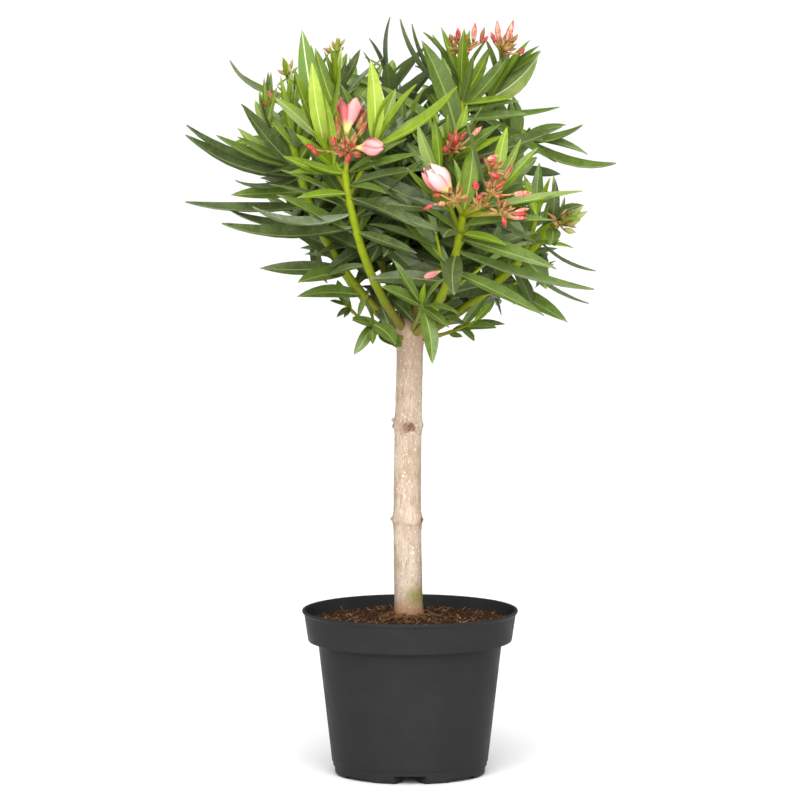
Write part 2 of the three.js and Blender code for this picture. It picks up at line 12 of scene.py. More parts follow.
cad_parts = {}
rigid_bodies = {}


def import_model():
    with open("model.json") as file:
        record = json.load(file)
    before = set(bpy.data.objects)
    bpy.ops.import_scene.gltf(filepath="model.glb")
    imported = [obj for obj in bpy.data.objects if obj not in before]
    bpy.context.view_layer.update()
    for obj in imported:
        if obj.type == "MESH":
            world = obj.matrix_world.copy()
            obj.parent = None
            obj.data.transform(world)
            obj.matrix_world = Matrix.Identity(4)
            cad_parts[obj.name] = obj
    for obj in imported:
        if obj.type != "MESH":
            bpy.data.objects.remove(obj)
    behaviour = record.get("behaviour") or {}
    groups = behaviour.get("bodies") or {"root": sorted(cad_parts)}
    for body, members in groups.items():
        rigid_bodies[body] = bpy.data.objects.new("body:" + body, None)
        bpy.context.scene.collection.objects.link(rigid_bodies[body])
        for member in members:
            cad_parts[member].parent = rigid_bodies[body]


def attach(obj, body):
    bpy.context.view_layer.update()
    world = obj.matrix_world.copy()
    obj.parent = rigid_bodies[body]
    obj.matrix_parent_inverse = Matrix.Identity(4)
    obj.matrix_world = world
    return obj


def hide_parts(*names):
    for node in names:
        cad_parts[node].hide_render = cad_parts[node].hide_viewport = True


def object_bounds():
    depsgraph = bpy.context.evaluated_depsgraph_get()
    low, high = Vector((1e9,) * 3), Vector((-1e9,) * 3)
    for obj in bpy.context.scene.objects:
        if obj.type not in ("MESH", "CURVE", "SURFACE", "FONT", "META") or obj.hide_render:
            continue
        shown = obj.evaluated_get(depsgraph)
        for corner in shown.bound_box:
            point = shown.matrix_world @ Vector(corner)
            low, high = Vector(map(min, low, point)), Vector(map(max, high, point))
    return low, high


bl_info = {
    "name": "Potted oleander",
    "version": (1, 0, 0),
    "blender": (4, 5, 0),
    "location": "View3D > Sidebar > Oleander",
    "description": "Builds the looks of a potted standard oleander over its solids",
    "category": "Object",
}

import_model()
CAD_BOX = [list(corner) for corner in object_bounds()]
MM = 0.001
BODY = "root"

# ------------------------------------------------- sizes in millimetres, shared with the solids

WALL = 1.6
GAP = 0.3
POT_HEIGHT = 161.0
LIP_RADIUS = 105.3
BAND_RADIUS = (99.5, 103.4)
BAND_FOOT = 130.6
BAND_TOP = 157.0
BODY_RADIUS = (76.3, 90.0)
SEAM = 12.5
RING_RADIUS = (59.0, 72.0)
PAD_RADIUS = 18.0
UNDERSIDE = 8.0
FLOOR = 10.6
DRAIN = {"out": 48, "radius": 4.5, "sides": 20}
SOIL_TOP = 150.5
SOIL_MOUND = 2.5
STEM_SEAT = 3.0
TRUNK_TOP = 452.0
TRUNK_FLARE = 17.5
TRUNK_FLARE_REACH = 6.0
TRUNK_RADIUS = (14.2, 12.9)
TRUNK_SWAY = (-1.0, 1.6, 4.2)
TRUNK_KNOTS = (249.0, 342.0)
KNOT_SWELL = 1.4
KNOT_REACH = 6.0
HEAD_HEIGHT = 438.0
HEAD_RADIUS = 16.0
HEAD_REACH = 14.0
# The bark's relief stands on a core that is this much thinner than the solid.
BARK_ROOM = 0.45
# A bough is a little fuller here than its solid.
BOUGH_RADIUS = (4.7, 3.7)
BOUGH_TAPER = 0.8
SIDE_RADIUS = (2.7, 1.8)
TWIG_RADIUS = (2.2, 1.3)
SIDE = {"whorls": 3, "leafy": 0.45, "young": 0.45, "size": 0.95, "arch": 6.0, "turn": 40.0}
LEAF = {
    "length": 114.0,
    "shorten": 0.42,
    "vary": (0.86, 1.1),
    "width_share": 0.18,
    "width_least": 1.5,
    "lean": (94.0, 26.0),
    "lean_power": 1.25,
    "lean_vary": 14.0,
    "bend": (26.0, 4.0),
    "bend_vary": 44.0,
    "twist_vary": 50.0,
    "swing_vary": 16.0,
    "last": 0.985,
    "crowding": 0.85,
}
LIGHT_FRONT = Vector((0.1, -0.8, 0.6))
LIGHT_BACK = Vector((-0.1, 0.8, 0.6))
LIGHT_SHOWN = Vector((0.05, -0.76, 0.65))
FOREMOST = -186.0
LIGHT_BORDER = 55.0
LIGHT_PULL = 0.9
SEED = 101

# Each limb's name, tip, spread, rise, foot, split, leafy, whorls, turn, size, youth of its lowest leaves,
# buds and side shoots.
LIMBS = (
    ("front_left", (-63, -80, 598), 0.76, 0.33, 430, 0.24, 0.27, 9, 182, 1.0, 0, 8,
     ((0.86, (-34, -88, 622)), (0.88, (-86, -84, 628)))),
    ("left", (-113, -22, 618), 0.8, 0.36, 428, 0.3, 0.33, 9, 170, 1.08, 0, 6, ((0.82, (-138, -14, 636)),)),
    ("back_left", (-74, 50, 670), 0.7, 0.4, 441, 0.3, 0.33, 9, 150, 0.98, 0, 0, ((0.7, (-118, 58, 660)),)),
    ("back_center", (-20, 82, 680), 0.75, 0.4, 443, 0.36, 0.42, 8, 84, 1.05, 0, 0, ()),
    ("top_right", (51, 8, 678), 0.9, 0.42, 443, 0.3, 0.33, 10, 4, 1.0, 0, 9, ((0.72, (92, 18, 682)),)),
    ("front_right", (51, -100, 562), 0.8, 0.3, 429, 0.28, 0.32, 8, 330, 0.96, 0, 10,
     ((0.84, (84, -104, 586)), (0.86, (28, -108, 590)))),
    ("mid_right", (37, -46, 606), 0.8, 0.3, 444, 0.36, 0.42, 7, 60, 0.9, 0, 7, ()),
    ("right", (140, -22, 541), 0.52, 0.32, 424, 0.32, 0.36, 8, 350, 0.72, 0, 4, ((0.72, (122, -46, 552)),)),
    ("back_right", (110, 60, 626), 0.75, 0.36, 441, 0.32, 0.38, 9, 10, 1.1, 0, 0, ()),
    ("center", (-10, -12, 612), 0.7, 0.5, 450, 0.32, 0.38, 7, 200, 1.05, 0, 0, ()),
    ("back", (-8, 132, 598), 0.75, 0.34, 429, 0.32, 0.38, 8, 90, 1.0, 0, 7, ()),
    ("back_low_left", (-100, 92, 556), 0.7, 0.3, 428, 0.3, 0.36, 8, 160, 0.86, 0, 5, ()),
    ("back_low_right", (92, 108, 552), 0.7, 0.3, 428, 0.3, 0.36, 8, 50, 0.86, 0, 5, ()),
    ("low_center", (12, -84, 468), 0.5, 0.4, 432, 0, 0.4, 4, 30, 0.74, 0.2, 0, ()),
    ("low_left", (-38, -58, 448), 0.55, 0.5, 424, 0, 0.45, 4, 100, 0.6, 0.2, 0, ()),
    ("low_side", (-66, 10, 462), 0.55, 0.4, 412, 0, 0.5, 4, 170, 0.55, 0.3, 0, ()),
    ("low_right", (62, -30, 446), 0.6, 0.35, 424, 0, 0.45, 5, 320, 0.5, 0.35, 0, ()),
    ("low_back", (24, 64, 452), 0.55, 0.4, 412, 0, 0.45, 4, 80, 0.6, 0.3, 0, ()),
)
LIMB_FIELDS = ("name", "tip", "spread", "rise", "foot", "split", "leafy", "whorls", "turn", "size", "young",
               "buds", "sides")
MASSES = tuple("leaves_" + limb[0] for limb in LIMBS)
BOUGHS = tuple("bough_" + limb[0] for limb in LIMBS if limb[5] > 0)

# The leaves that stand out, by the shoot that bears them ("left/1" is the left limb's first side shoot). Each
# has its place along the shoot, where its tip stands in the front elevation, length, width, age, arch in
# degrees, and roll about its own line in degrees. What its length leaves over, a leaf leans forward.
SHOWN = {
    "left": (
        (0.98, -124, 680, 75, 8, "new", 10, 0),
        (0.98, -117, 679, 70, 7, "new", 6, -20),
        (0.98, -110, 672, 60, 8, "fresh", 8, 0),
        (0.98, -119, 633, 70, 14, "grown", 10, 0),
        (0.88, -161, 653, 92, 17, "old", -25, 0),
        (0.9, -185, 624, 90, 16, "grown", -40, 15),
        (0.92, -167, 621, 66, 12, "grown", -35, 10),
        (0.9, -216, 631, 120, 12, "old", -50, 20),
        (0.86, -214, 625, 120, 22, "old", -55, 15),
        (0.86, -168, 581, 72, 18, "old", -62, 40),
        (0.79, -173, 565, 75, 16, "grown", 0, 0),
        (0.73, -216, 559, 125, 21, "old", -38, 22),
        (0.63, -172, 553, 90, 20, "old", -56, 22),
        (0.46, -106, 524, 60, 15, "old", -10, 0),
        (0.43, -144, 496, 85, 16, "old", -5, 0),
        (0.4, -108, 480, 80, 19, "grown", 14, 0),
        (0.27, -109, 468, 70, 17, "grown", 18, 0),
    ),
    "left/1": (
        (0.82, -146, 661, 55, 6, "old", -20, 30),
        (0.98, -141, 680, 50, 6, "fresh", 8, 0),
        (0.98, -134, 686, 50, 6, "grown", 10, 20),
        (0.98, -128, 670, 45, 8, "fresh", 6, 0),
        (0.98, -146, 668, 35, 6, "new", 8, 0),
        (0.9, -137, 686, 50, 7, "old", -10, 20),
    ),
    "front_left": (
        (0.98, -122, 600, 70, 13, "fresh", -14, 0),
        (0.98, -102, 596, 50, 9, "fresh", -10, 0),
        (0.98, 10, 605, 85, 12, "grown", -12, 0),
        (0.98, -5, 618, 80, 9, "grown", -12, 0),
        (0.97, -117, 585, 65, 10, "fresh", 12, 0),
        (0.92, -23, 565, 60, 11, "grown", 12, 0),
        (0.92, 17, 589, 90, 12, "old", 10, 0),
        (0.88, -108, 562, 60, 10, "fresh", 10, 0),
        (0.86, 6, 531, 90, 13, "old", 8, 0),
        (0.84, 34, 527, 110, 13, "old", 12, 0),
        # This leaf's sheen tone is painted sheen.
        (0.78, -148, 556, 112, 20, "sheen", -64, 30),
        (0.71, -179, 536, 145, 18, "old", -45, 10),
        (0.68, 6, 509, 80, 12, "old", 10, 0),
    ),
    "front_left/1": (
        (0.98, -38, 692, 92, 17, "lime", 6, 0),
        (0.98, 42, 667, 108, 12, "new", -48, 0),
        (0.98, 4, 670, 80, 9, "new", 10, -30),
        (0.98, -16, 664, 65, 6, "new", 40, -60),
    ),
    "front_left/2": (
        (0.92, -64, 696, 95, 5, "new", 10, 70),
        (0.84, -112, 684, 90, 14, "fresh", -14, 10),
        (0.8, -94, 691, 95, 15, "lime", 8, -10),
        (0.63, -96, 626, 45, 7, "new", 0, 20),
        (0.78, -104, 723, 112, 22, "pale", 8, 0),
        (0.5, -82, 659, 80, 9, "new", 6, 0),
        (0.5, -93, 626, 50, 9, "new", 5, 0),
    ),
    "back_left/1": (
        (0.93, -124, 703, 45, 9, "new", 5, 0),
        (0.73, -96, 714, 70, 14, "fresh", 12, 20),
        (0.93, -119, 697, 40, 6, "cream", 5, 0),
        (0.9, -113, 690, 45, 7, "new", 8, 20),
        (0.95, -174, 698, 86, 22, "grown", -60, 28),
    ),
    "back_left": (
        (0.97, -78, 714, 50, 7, "new", 10, 20),
        (0.97, -83, 708, 45, 6, "fresh", 10, 0),
        (0.97, -67, 712, 45, 6, "cream", 6, 0),
        (0.97, -74, 704, 40, 7, "new", 6, 0),
        (0.97, -71, 723, 55, 7, "new", 6, -20),
        (0.97, -49, 710, 50, 10, "old", -12, 0),
        (0.92, -63, 697, 45, 11, "old", 8, 30),
        (0.92, -26, 703, 60, 6, "old", 10, 0),
        (0.85, -93, 712, 75, 14, "fresh", 8, 0),
    ),
    "back_center": (
        (0.92, -68, 686, 55, 11, "grown", 12, 0),
        (0.89, -41, 722, 65, 7, "old", 30, 55),
        (0.97, -21, 742, 72, 12, "old", -35, 70),
    ),
    "top_right": (
        (0.98, 23, 722, 60, 7, "fresh", -12, 20),
        (0.98, 29, 729, 65, 8, "fresh", 8, 0),
        (0.98, 13, 724, 70, 7, "grown", 20, 40),
        (0.96, 52, 727, 75, 10, "fresh", 6, 0),
        (0.98, 58, 727, 55, 9, "fresh", 6, -15),
        (0.98, 75, 717, 55, 8, "grown", 8, -20),
        (0.88, 97, 706, 76, 14, "grown", -18, 0),
        (0.98, 36, 716, 45, 8, "fresh", 8, 15),
        (0.9, 62, 702, 65, 10, "grown", 8, 0),
        (0.86, 40, 690, 45, 9, "grown", 10, 20),
        (0.87, 106, 656, 65, 11, "grown", 16, 0),
        (0.9, 99, 661, 60, 8, "fresh", 10, 0),
        (0.85, 143, 653, 100, 11, "grown", -48, 0),
        (0.84, 113, 646, 70, 11, "grown", 10, 0),
        (0.76, 11, 716, 105, 24, "grown", 6, 0),
        (0.92, -9, 738, 95, 10, "old", -60, 60),
        (0.9, 4, 734, 80, 9, "old", -55, 58),
        (0.92, 78, 711, 60, 11, "fresh", -8, 0),
    ),
    "top_right/1": (
        (0.98, 125, 707, 50, 9, "fresh", -18, 0),
        (0.66, 116, 717, 75, 10, "fresh", 6, 0),
        (0.98, 112, 712, 45, 8, "fresh", 5, 0),
        (0.9, 124, 711, 60, 9, "grown", 12, 0),
        (0.98, 84, 713, 52, 9, "new", 5, 0),
        (0.98, 93, 704, 42, 9, "grown", 5, 0),
        (0.68, 124, 700, 68, 28, "pale", 34, 162),
        (0.75, 126, 707, 62, 16, "grown", -14, 150),
        (0.9, 74, 716, 60, 10, "grown", -10, 0),
    ),
    "back_right": (
        (0.96, 153, 636, 50, 11, "grown", 8, 0),
        (0.95, 166, 637, 80, 17, "grown", -48, -15),
        (0.96, 173, 607, 75, 12, "grown", 28, 0),
        (0.97, 199, 600, 113, 15, "grown", -62, -20),
    ),
    "mid_right": (
        (0.98, 144, 630, 120, 17, "old", -24, 0),
        (0.98, 17, 639, 50, 8, "fresh", 14, -20),
        (0.98, 36, 643, 50, 9, "fresh", 5, 0),
        (0.98, 86, 633, 65, 15, "grown", 5, 0),
        (0.98, 90, 623, 65, 8, "new", 10, 30),
    ),
    "front_right": (
        (0.98, 60, 612, 60, 15, "fresh", 6, 0),
        (0.98, 42, 599, 45, 9, "fresh", 10, 15),
        (0.9, 134, 540, 100, 12, "grown", 18, 0),
        (0.87, 14, 551, 60, 11, "grown", -10, 0),
        (0.87, 31, 521, 55, 26, "old", 30, 0),
        (0.86, 92, 515, 60, 11, "fresh", 20, 0),
        (0.83, 139, 491, 115, 17, "grown", 22, 0),
        (0.76, 174, 472, 160, 15, "grown", -30, -14),
        (0.74, 42, 468, 60, 20, "old", 10, 0),
        (0.63, 128, 446, 118, 15, "grown", 8, 0),
    ),
    "front_right/2": (
        (0.55, -2, 589, 65, 9, "fresh", -40, 0),
        (0.38, 11, 581, 55, 8, "fresh", -30, 10),
    ),
    "front_right/1": (
        (0.76, 106, 618, 45, 9, "fresh", 5, 15),
        (0.61, 122, 610, 60, 13, "fresh", -10, 0),
        (0.57, 165, 567, 90, 11, "fresh", -14, 0),
        (0.47, 138, 566, 70, 10, "fresh", -12, 0),
    ),
    "right": (
        (0.98, 168, 555, 45, 13, "old", 60, 0),
        (0.98, 162, 543, 40, 11, "fresh", 40, 20),
        (0.97, 134, 516, 50, 15, "grown", 20, 0),
        (0.96, 140, 581, 55, 11, "old", 8, 0),
        (0.88, 179, 492, 70, 8, "old", -45, -50),
        (0.75, 131, 473, 60, 20, "grown", 15, 0),
        (0.73, 173, 462, 85, 8, "old", -40, -50),
        (0.55, 151, 444, 94, 20, "grown", -12, 0),
        (0.68, 118, 457, 50, 12, "old", 10, 0),
    ),
    "right/1": (
        (0.42, 136, 538, 40, 8, "new", 0, 0),
        (0.4, 157, 514, 60, 7, "fresh", 20, 0),
    ),
    "low_center": (
        (0.98, -18, 502, 65, 10, "grown", 8, 0),
        (0.98, 14, 479, 30, 6, "new", 5, 0),
        (0.98, 32, 483, 50, 10, "fresh", 6, 0),
        (0.98, -28, 475, 70, 18, "grown", 14, 0),
        (0.98, 46, 450, 60, 9, "grown", 12, 0),
        (0.98, 21, 401, 70, 16, "grown", 14, 0),
        (0.95, 37, 437, 50, 11, "grown", 10, 0),
    ),
    "low_left": (
        (0.98, -54, 411, 40, 12, "grown", 10, 0),
        (0.98, -14, 420, 50, 18, "grown", 12, 0),
        (0.97, -36, 421, 40, 9, "grown", 10, 0),
        (0.96, -56, 443, 36, 16, "grown", 8, 0),
        (0.9, -45, 462, 40, 12, "grown", 8, 0),
        (0.71, -8, 418, 45, 18, "grown", 12, 0),
    ),
    "low_side": (
        (0.9, -71, 448, 40, 6, "old", 10, 0),
        (0.9, -64, 447, 35, 6, "grown", 5, 0),
        (0.95, -64, 474, 30, 8, "fresh", 5, 0),
        (0.95, -50, 478, 35, 8, "fresh", 5, 0),
        (0.95, -78, 463, 30, 7, "grown", 8, 0),
        (0.75, -40, 470, 35, 12, "fresh", 5, 0),
        (0.7, -48, 446, 30, 12, "grown", 5, 0),
    ),
    "low_right": (
        (0.88, 33, 447, 40, 10, "grown", 12, 0),
        (0.81, 84, 436, 40, 12, "grown", 8, 0),
        (0.81, 92, 440, 44, 10, "old", 14, 0),
        (0.6, 51, 428, 18, 7, "grown", 0, 0),
        (0.79, 62, 423, 30, 8, "grown", 8, 0),
    ),
}

# The front elevation looks down a little, so that what stands further back stands higher in it by this share.
ELEVATION_RISE = 0.116

# The flower heads at the front: the shoot that bears one, the fork of its stalks, and its buds, each with its
# base, tip, radius and kind.
CYMES = (
    ("front_left", (-60, -92, 616), (
        ((-70, -93, 625), (-71, -95, 652), 4.4, "brown"),
        ((-73, -96, 621), (-75, -98, 635), 3.2, "red"),
        ((-62, -98, 620), (-67, -100, 624), 2.5, "brown"),
        ((-58, -97, 623), (-61, -99, 631), 2.7, "brown"),
        ((-58, -97, 616), (-61, -99, 605), 3.2, "red"),
        ((-55, -97, 615), (-47, -99, 612), 2.5, "red"),
        ((-52, -90, 635), (-41, -92, 658), 3.7, "brown"),
        ((-51, -93, 629), (-39, -95, 648), 3.1, "brown"),
        ((-84, -93, 637), (-86, -95, 646), 2.0, "red"),
        ((-48, -93, 637), (-42, -95, 646), 2.0, "brown"),
        ((-68, -95, 620), (-71, -97, 616), 2.0, "brown"),
        ((-90, -90, 618), (-101, -92, 624), 2.5, "red"),
        ((-95, -90, 619), (-87, -92, 613), 2.5, "red"),
    )),
    ("top_right", (50, -4, 706), (
        ((40, -8, 712), (34, -10, 716), 2.5, "red"),
        ((47, -8, 717), (46, -10, 730), 2.7, "red"),
        ((42, -6, 714), (38, -8, 724), 2.9, "brown"),
        ((61, -2, 715), (63, -4, 735), 2.7, "pink"),
        ((68, 2, 715), (72, 0, 730), 2.2, "brown"),
        ((58, 0, 713), (54, -2, 724), 2.2, "brown"),
        ((44, -12, 711), (41, -14, 719), 2.5, "brown"),
        ((68, -10, 715), (76, -12, 722), 2.4, "red"),
    )),
    ("top_right/1", (88, -4, 706), (
        ((82, -8, 716), (78, -10, 726), 2.4, "red"),
        ((86, 0, 714), (84, -2, 737), 2.9, "pink"),
        ((93, -6, 714), (100, -8, 738), 3.2, "pink"),
        ((96, -10, 716), (99, -12, 724), 2.0, "brown"),
        ((99, -8, 715), (104, -10, 724), 2.0, "brown"),
        ((105, -14, 705), (111, -16, 710), 2.5, "red"),
        ((90, -2, 712), (94, -4, 723), 2.2, "brown"),
    )),
    ("mid_right", (40, -62, 614), (
        ((39, -62, 622), (46, -64, 637), 2.5, "brown"),
        ((42, -66, 621), (45, -68, 632), 3.2, "red"),
        ((47, -64, 624), (54, -66, 634), 2.2, "red"),
        ((59, -66, 629), (69, -68, 639), 2.7, "pink"),
        ((36, -72, 616), (30, -74, 618), 3.9, "red"),
        ((30, -74, 613), (22, -76, 609), 2.2, "red"),
        ((38, -66, 616), (35, -68, 626), 2.5, "brown"),
        ((43, -70, 615), (47, -72, 623), 2.0, "brown"),
    )),
    ("front_right", (43, -130, 572), (
        ((29, -134, 579), (21, -136, 578), 2.5, "red"),
        ((34, -136, 571), (25, -138, 570), 2.5, "pink"),
        ((22, -138, 570), (12, -140, 565), 2.2, "red"),
        ((40, -130, 581), (35, -132, 591), 2.5, "red"),
    )),
    ("front_right", (65, -130, 566), (
        ((63, -138, 583), (61, -140, 593), 3.9, "red"),
        ((68, -140, 579), (62, -142, 574), 2.7, "red"),
    )),
    ("front_right/1", (76, -118, 600), (
        ((72, -126, 611), (85, -128, 616), 2.9, "pink"),
        ((75, -128, 607), (83, -130, 610), 2.2, "red"),
        ((75, -130, 599), (87, -132, 594), 3.4, "red"),
    )),
    ("front_right", (78, -132, 579), (
        ((89, -130, 591), (98, -132, 610), 2.9, "brown"),
        ((80, -134, 585), (91, -136, 592), 2.2, "red"),
        ((96, -134, 579), (116, -136, 581), 2.9, "pink"),
        ((74, -132, 584), (76, -134, 593), 2.5, "brown"),
    )),
    ("front_right", (86, -134, 561), (
        ((98, -134, 562), (114, -136, 566), 2.2, "pink"),
        ((96, -136, 560), (112, -138, 561), 2.2, "red"),
        ((95, -136, 557), (112, -138, 557), 2.2, "pink"),
        ((88, -138, 559), (91, -140, 548), 2.7, "red"),
        ((93, -132, 562), (97, -134, 569), 2.0, "brown"),
    )),
    ("left/1", (-135, -20, 654), (
        ((-133, -20, 660), (-137, -22, 670), 2.4, "pink"),
        ((-130, -22, 661), (-131, -24, 670), 2.2, "brown"),
        ((-136, -20, 657), (-141, -22, 662), 2.2, "brown"),
    )),
    ("back_left/1", (-118, 52, 678), (
        ((-121, 50, 682), (-124, 48, 696), 2.0, "tan"),
        ((-117, 50, 680), (-118, 48, 691), 2.0, "tan"),
    )),
    ("back_left", (-72, 48, 702), (
        ((-73, 48, 704), (-76, 46, 714), 1.9, "tan"),
        ((-70, 48, 706), (-69, 46, 717), 1.9, "tan"),
    )),
    ("right", (144, -32, 543), (
        ((146, -36, 546), (151, -40, 557), 2.9, "tan"),
        ((149, -34, 548), (158, -38, 563), 2.9, "green"),
        ((151, -34, 546), (168, -38, 561), 3.2, "green"),
        ((152, -34, 543), (172, -38, 555), 3.2, "green"),
        ((149, -34, 540), (165, -38, 546), 2.9, "green"),
        ((148, -38, 537), (160, -42, 534), 2.9, "green"),
        ((143, -36, 540), (136, -38, 546), 2.4, "tan"),
    )),
)

# The two flowers, the swollen bud and a late floret: the fork each stems from, its base, its mouth or tip,
# and its widest radius.
FLOWERS = {
    "funnel_flower": {
        "fork": (-60, -92, 616), "base": (-61.0, -98, 633.0), "mouth": (-57.0, -88, 666.0), "radius": 13.5,
    },
    "opening_bloom": {
        "fork": (43, -128, 571), "base": (40.0, -128, 580.0), "mouth": (15.0, -138, 605.0), "radius": 11.5,
    },
    "swollen_bud": {
        "fork": (-60, -92, 616), "base": (-53.0, -98, 620.5), "mouth": (-25.5, -108, 622.5), "radius": 8.4,
    },
    "late_floret": {
        "fork": (38, -76, 496), "base": (31.0, -88, 502.0), "mouth": (13.0, -96, 496.0), "radius": 3.2,
    },
}
# A bud that is about to open. The function corolla tells what the fields of a whorl mean.
SWOLLEN = {
    "profile": (
        (0, 0.22), (0.14, 0.26), (0.26, 0.42), (0.38, 0.72), (0.5, 0.94), (0.62, 1.0), (0.74, 0.95),
        (0.86, 0.78), (0.95, 0.52), (1, 0.2),
    ),
    "spread": 46, "twist": 75, "first": -120, "point": 0.08, "size": 1.0,
}
WHORLS = {
    "funnel_flower": ({
        "profile": (
            (0, 0.15), (0.12, 0.19), (0.24, 0.29), (0.36, 0.44), (0.48, 0.6), (0.6, 0.71), (0.72, 0.79),
            (0.84, 0.86), (0.93, 0.93), (1, 1.0),
        ),
        "spread": 48, "twist": 6, "first": -144, "point": 0.3, "size": 1.0,
        "tones": (0.75, 0.5, 0.45, 0.7, 0.8),
    },),
    "opening_bloom": ({
        "profile": (
            (0, 0.16), (0.1, 0.24), (0.2, 0.45), (0.32, 0.74), (0.45, 0.93), (0.58, 1.0), (0.7, 0.98),
            (0.82, 0.86), (0.92, 0.7), (1, 0.52),
        ),
        "spread": 54, "twist": 30, "first": -118, "point": 0.3, "size": 1.0,
        "tones": (0.3, 0.18, 0.35, 0.4, 0.65),
    }, {
        "profile": ((0, 0.1), (0.15, 0.4), (0.35, 0.78), (0.55, 0.95), (0.75, 0.8), (0.88, 0.5), (1, 0.1)),
        "spread": 48, "twist": 60, "first": -60, "point": 0.12, "size": 0.9, "tones": (0, 0.05, 0, 0.1, 0),
    }),
    "swollen_bud": ({**SWOLLEN, "tones": (0.5, 0.3, 0.4, 0.45, 0.5)},),
    "late_floret": ({**SWOLLEN, "tones": (0.7, 0.6, 0.6, 0.65, 0.7)},),
}
PETALS, PETAL_COLUMNS, PETAL_THICKNESS = 5, 11, 0.35
# As shares of the flower's radius: how far a petal's edges stand out and in, and the height of its ruffle.
PETAL_OVERLAP, PETAL_RUFFLE = 0.09, 0.05
# How much rosier a petal is at its edges and at its foot, and how much paler all over.
BLUSH = {"edge": 0.55, "foot": 0.25, "less": 0.1}
# A stalk's radius at its foot and end: of a listed head, bud and flower, a calyx, and the heads by rule.
STALKS = {
    "head": (3.2, 2.3), "bud": (1.3, 0.9), "flower": (1.5, 1.5), "calyx": (1.1, 0.9), "rule_head": (2.2, 1.8),
    "rule_bud": (1.0, 0.8),
}
STALK_STEPS = 6
# A head's stalk is green at its foot, and all others are tan.
GREEN_TO_TAN, TAN = (0.0, 0.5), (0.5, 1.0)
# The heads that no list gives: a bud's length and how it varies, its radius, lean from the shoot, distance
# from the fork, turn to the next in radians, how far the fork stands over the shoot, how much of its length a
# closed bud has, and its kinds.
BUD_RULE = {
    "length": 24.0, "vary": (0.7, 1.1), "radius": 2.7, "lean": (12.0, 70.0), "off": (5.0, 11.0),
    "spiral": 2.4, "fork": 8, "closed": 0.6, "kinds": ("red", "pink", "brown"),
}
# The small spent calyces that crowd each fork: how many for a bud, their length, radius, lean and distance.
CALYX_RULE = {
    "each": 3.0, "length": (7.0, 14.0), "radius": (1.3, 2.1), "lean": (8.0, 95.0), "off": (2.0, 8.0),
}
CALYX_KINDS = {
    "grown": ("brown", "tan", "brown", "tan", "red"),
    "young": ("tan", "green", "tan", "green", "tan"),
}
BUD_SIDES, BUD_RINGS = 10, 6
# As shares of a bud's height: its foot, and where over the foot its point begins. The twist is in radians.
BUD_FOOT, BUD_WAIST, BUD_TWIST = 0.12, 0.45, 2.4
# The corners of a sepal: bearing in radians, height and radius. It is a flat wedge with four faces.
SEPAL = ((-0.5, 0.08, 0.3), (0.5, 0.08, 0.3), (0.0, 0.08, 0.16), (0.0, 0.36, 0.5))
SEPAL_FACES = ((0, 1, 2), (0, 3, 1), (1, 3, 2), (2, 3, 0))
# How deep the furrows of the two forms of bud are.
BUD_FURROWS = {"bud_slim": 0.06, "bud_round": 0.1}

# Below this bowl the rule hangs no leaves: its bottom by the trunk, its rim, and its slope to left and right.
BOWL = {"bottom": 412.0, "reach": 32.0, "left": 1.25, "right": 0.5, "forward": 0.115}
# Beyond this dome the rule lets no leaf reach: its middle and its half lengths.
DOME = {"middle": (-20.0, 8.0, 552.0), "reach": (172.0, 205.0, 168.0)}
# How clear a leaf of the rule stays of the box's sides, of the trunk, of its top, and of the other limbs.
ROOM = {"box": 1.0, "trunk": 1.0, "top": 2.0, "limbs": 3.2}
# A leaf of the rule gives way to a listed one as near as this, in millimetres and radians.
NEAR = {"distance": 28.0, "angle": 0.5}
# A leaf that doesn't fit is tried shorter, then tilted and swung, in degrees. Under the least length it is
# left out.
SHORTENINGS = (1, 0.88, 0.76, 0.62, 0.48)
SHIFTS = ((0, 0), (-14, 0), (14, 0), (0, 14), (0, -14), (-26, 10), (20, -16))
LEAST_LEAF = 24.0
# The stretches of each limb's curve, for the test of its space.
TRACK = 14
# The finer twigs: how many a bough and a low shoot bear, where they stand, how they turn, lean and reach, and
# how their leaves grow.
TWIG = {
    "bough": 4, "shoot": 1, "places": (0.4, 0.8), "stray": 0.06, "spiral": 137, "swing": 40,
    "lean": (34, 52), "reach": (30, 52), "low": 0.5, "rise": 0.25, "arch": 4.0, "radius": (2.0, 1.2),
    "nodes": 0.45, "leafy": 0.4, "turn": 35, "size": 0.8, "young": 0.25, "age": 0.75,
}
# The bark's relief: its rings and sides, and the radius at which its pattern is drawn.
BARK_RINGS, BARK_SIDES, BARK_ROUND = 330, 144, 14
# The dome over the trunk's head keeps this share of its section.
HEAD_LEAST = 0.08
# Where whorls of old shoots stood, with their strength.
OLD_WHORLS = ((TRUNK_KNOTS[0], 0.8), (TRUNK_KNOTS[1], 1.0), (372.0, 0.3))
# The healed scars: bearing in radians, height, half width and half height. The stubs of shoots have a length
# as well.
SCARS = ((-1.5, 342.0, 5.0, 3.6), (-0.42, 250.0, 2.2, 3.2), (2.2, 251.0, 3.2, 2.6))
STUBS = ((3.3, 347.5, 2.3, 2.0, 3.0), (3.4, 341.0, 1.9, 1.7, 1.6), (3.05, 250.0, 2.4, 1.8, 1.3))
# The warts: how many, up to where, their size, for a size of 1 their half width, half height and relief, and
# how much paler they are.
WARTS = {
    "count": 320, "top": 430, "size": (0.5, 1.25), "wide": 1.1, "tall": 0.7, "height": 0.36, "pale": 0.25,
}
# The film of algae: its height and how far it reaches up and down, the bearing of its middle in radians, its
# strength, and the share of it that holds where the bark has no relief.
ALGAE = {"height": 175, "reach": 9, "bearing": -0.8, "most": 1.5, "even": 0.45}
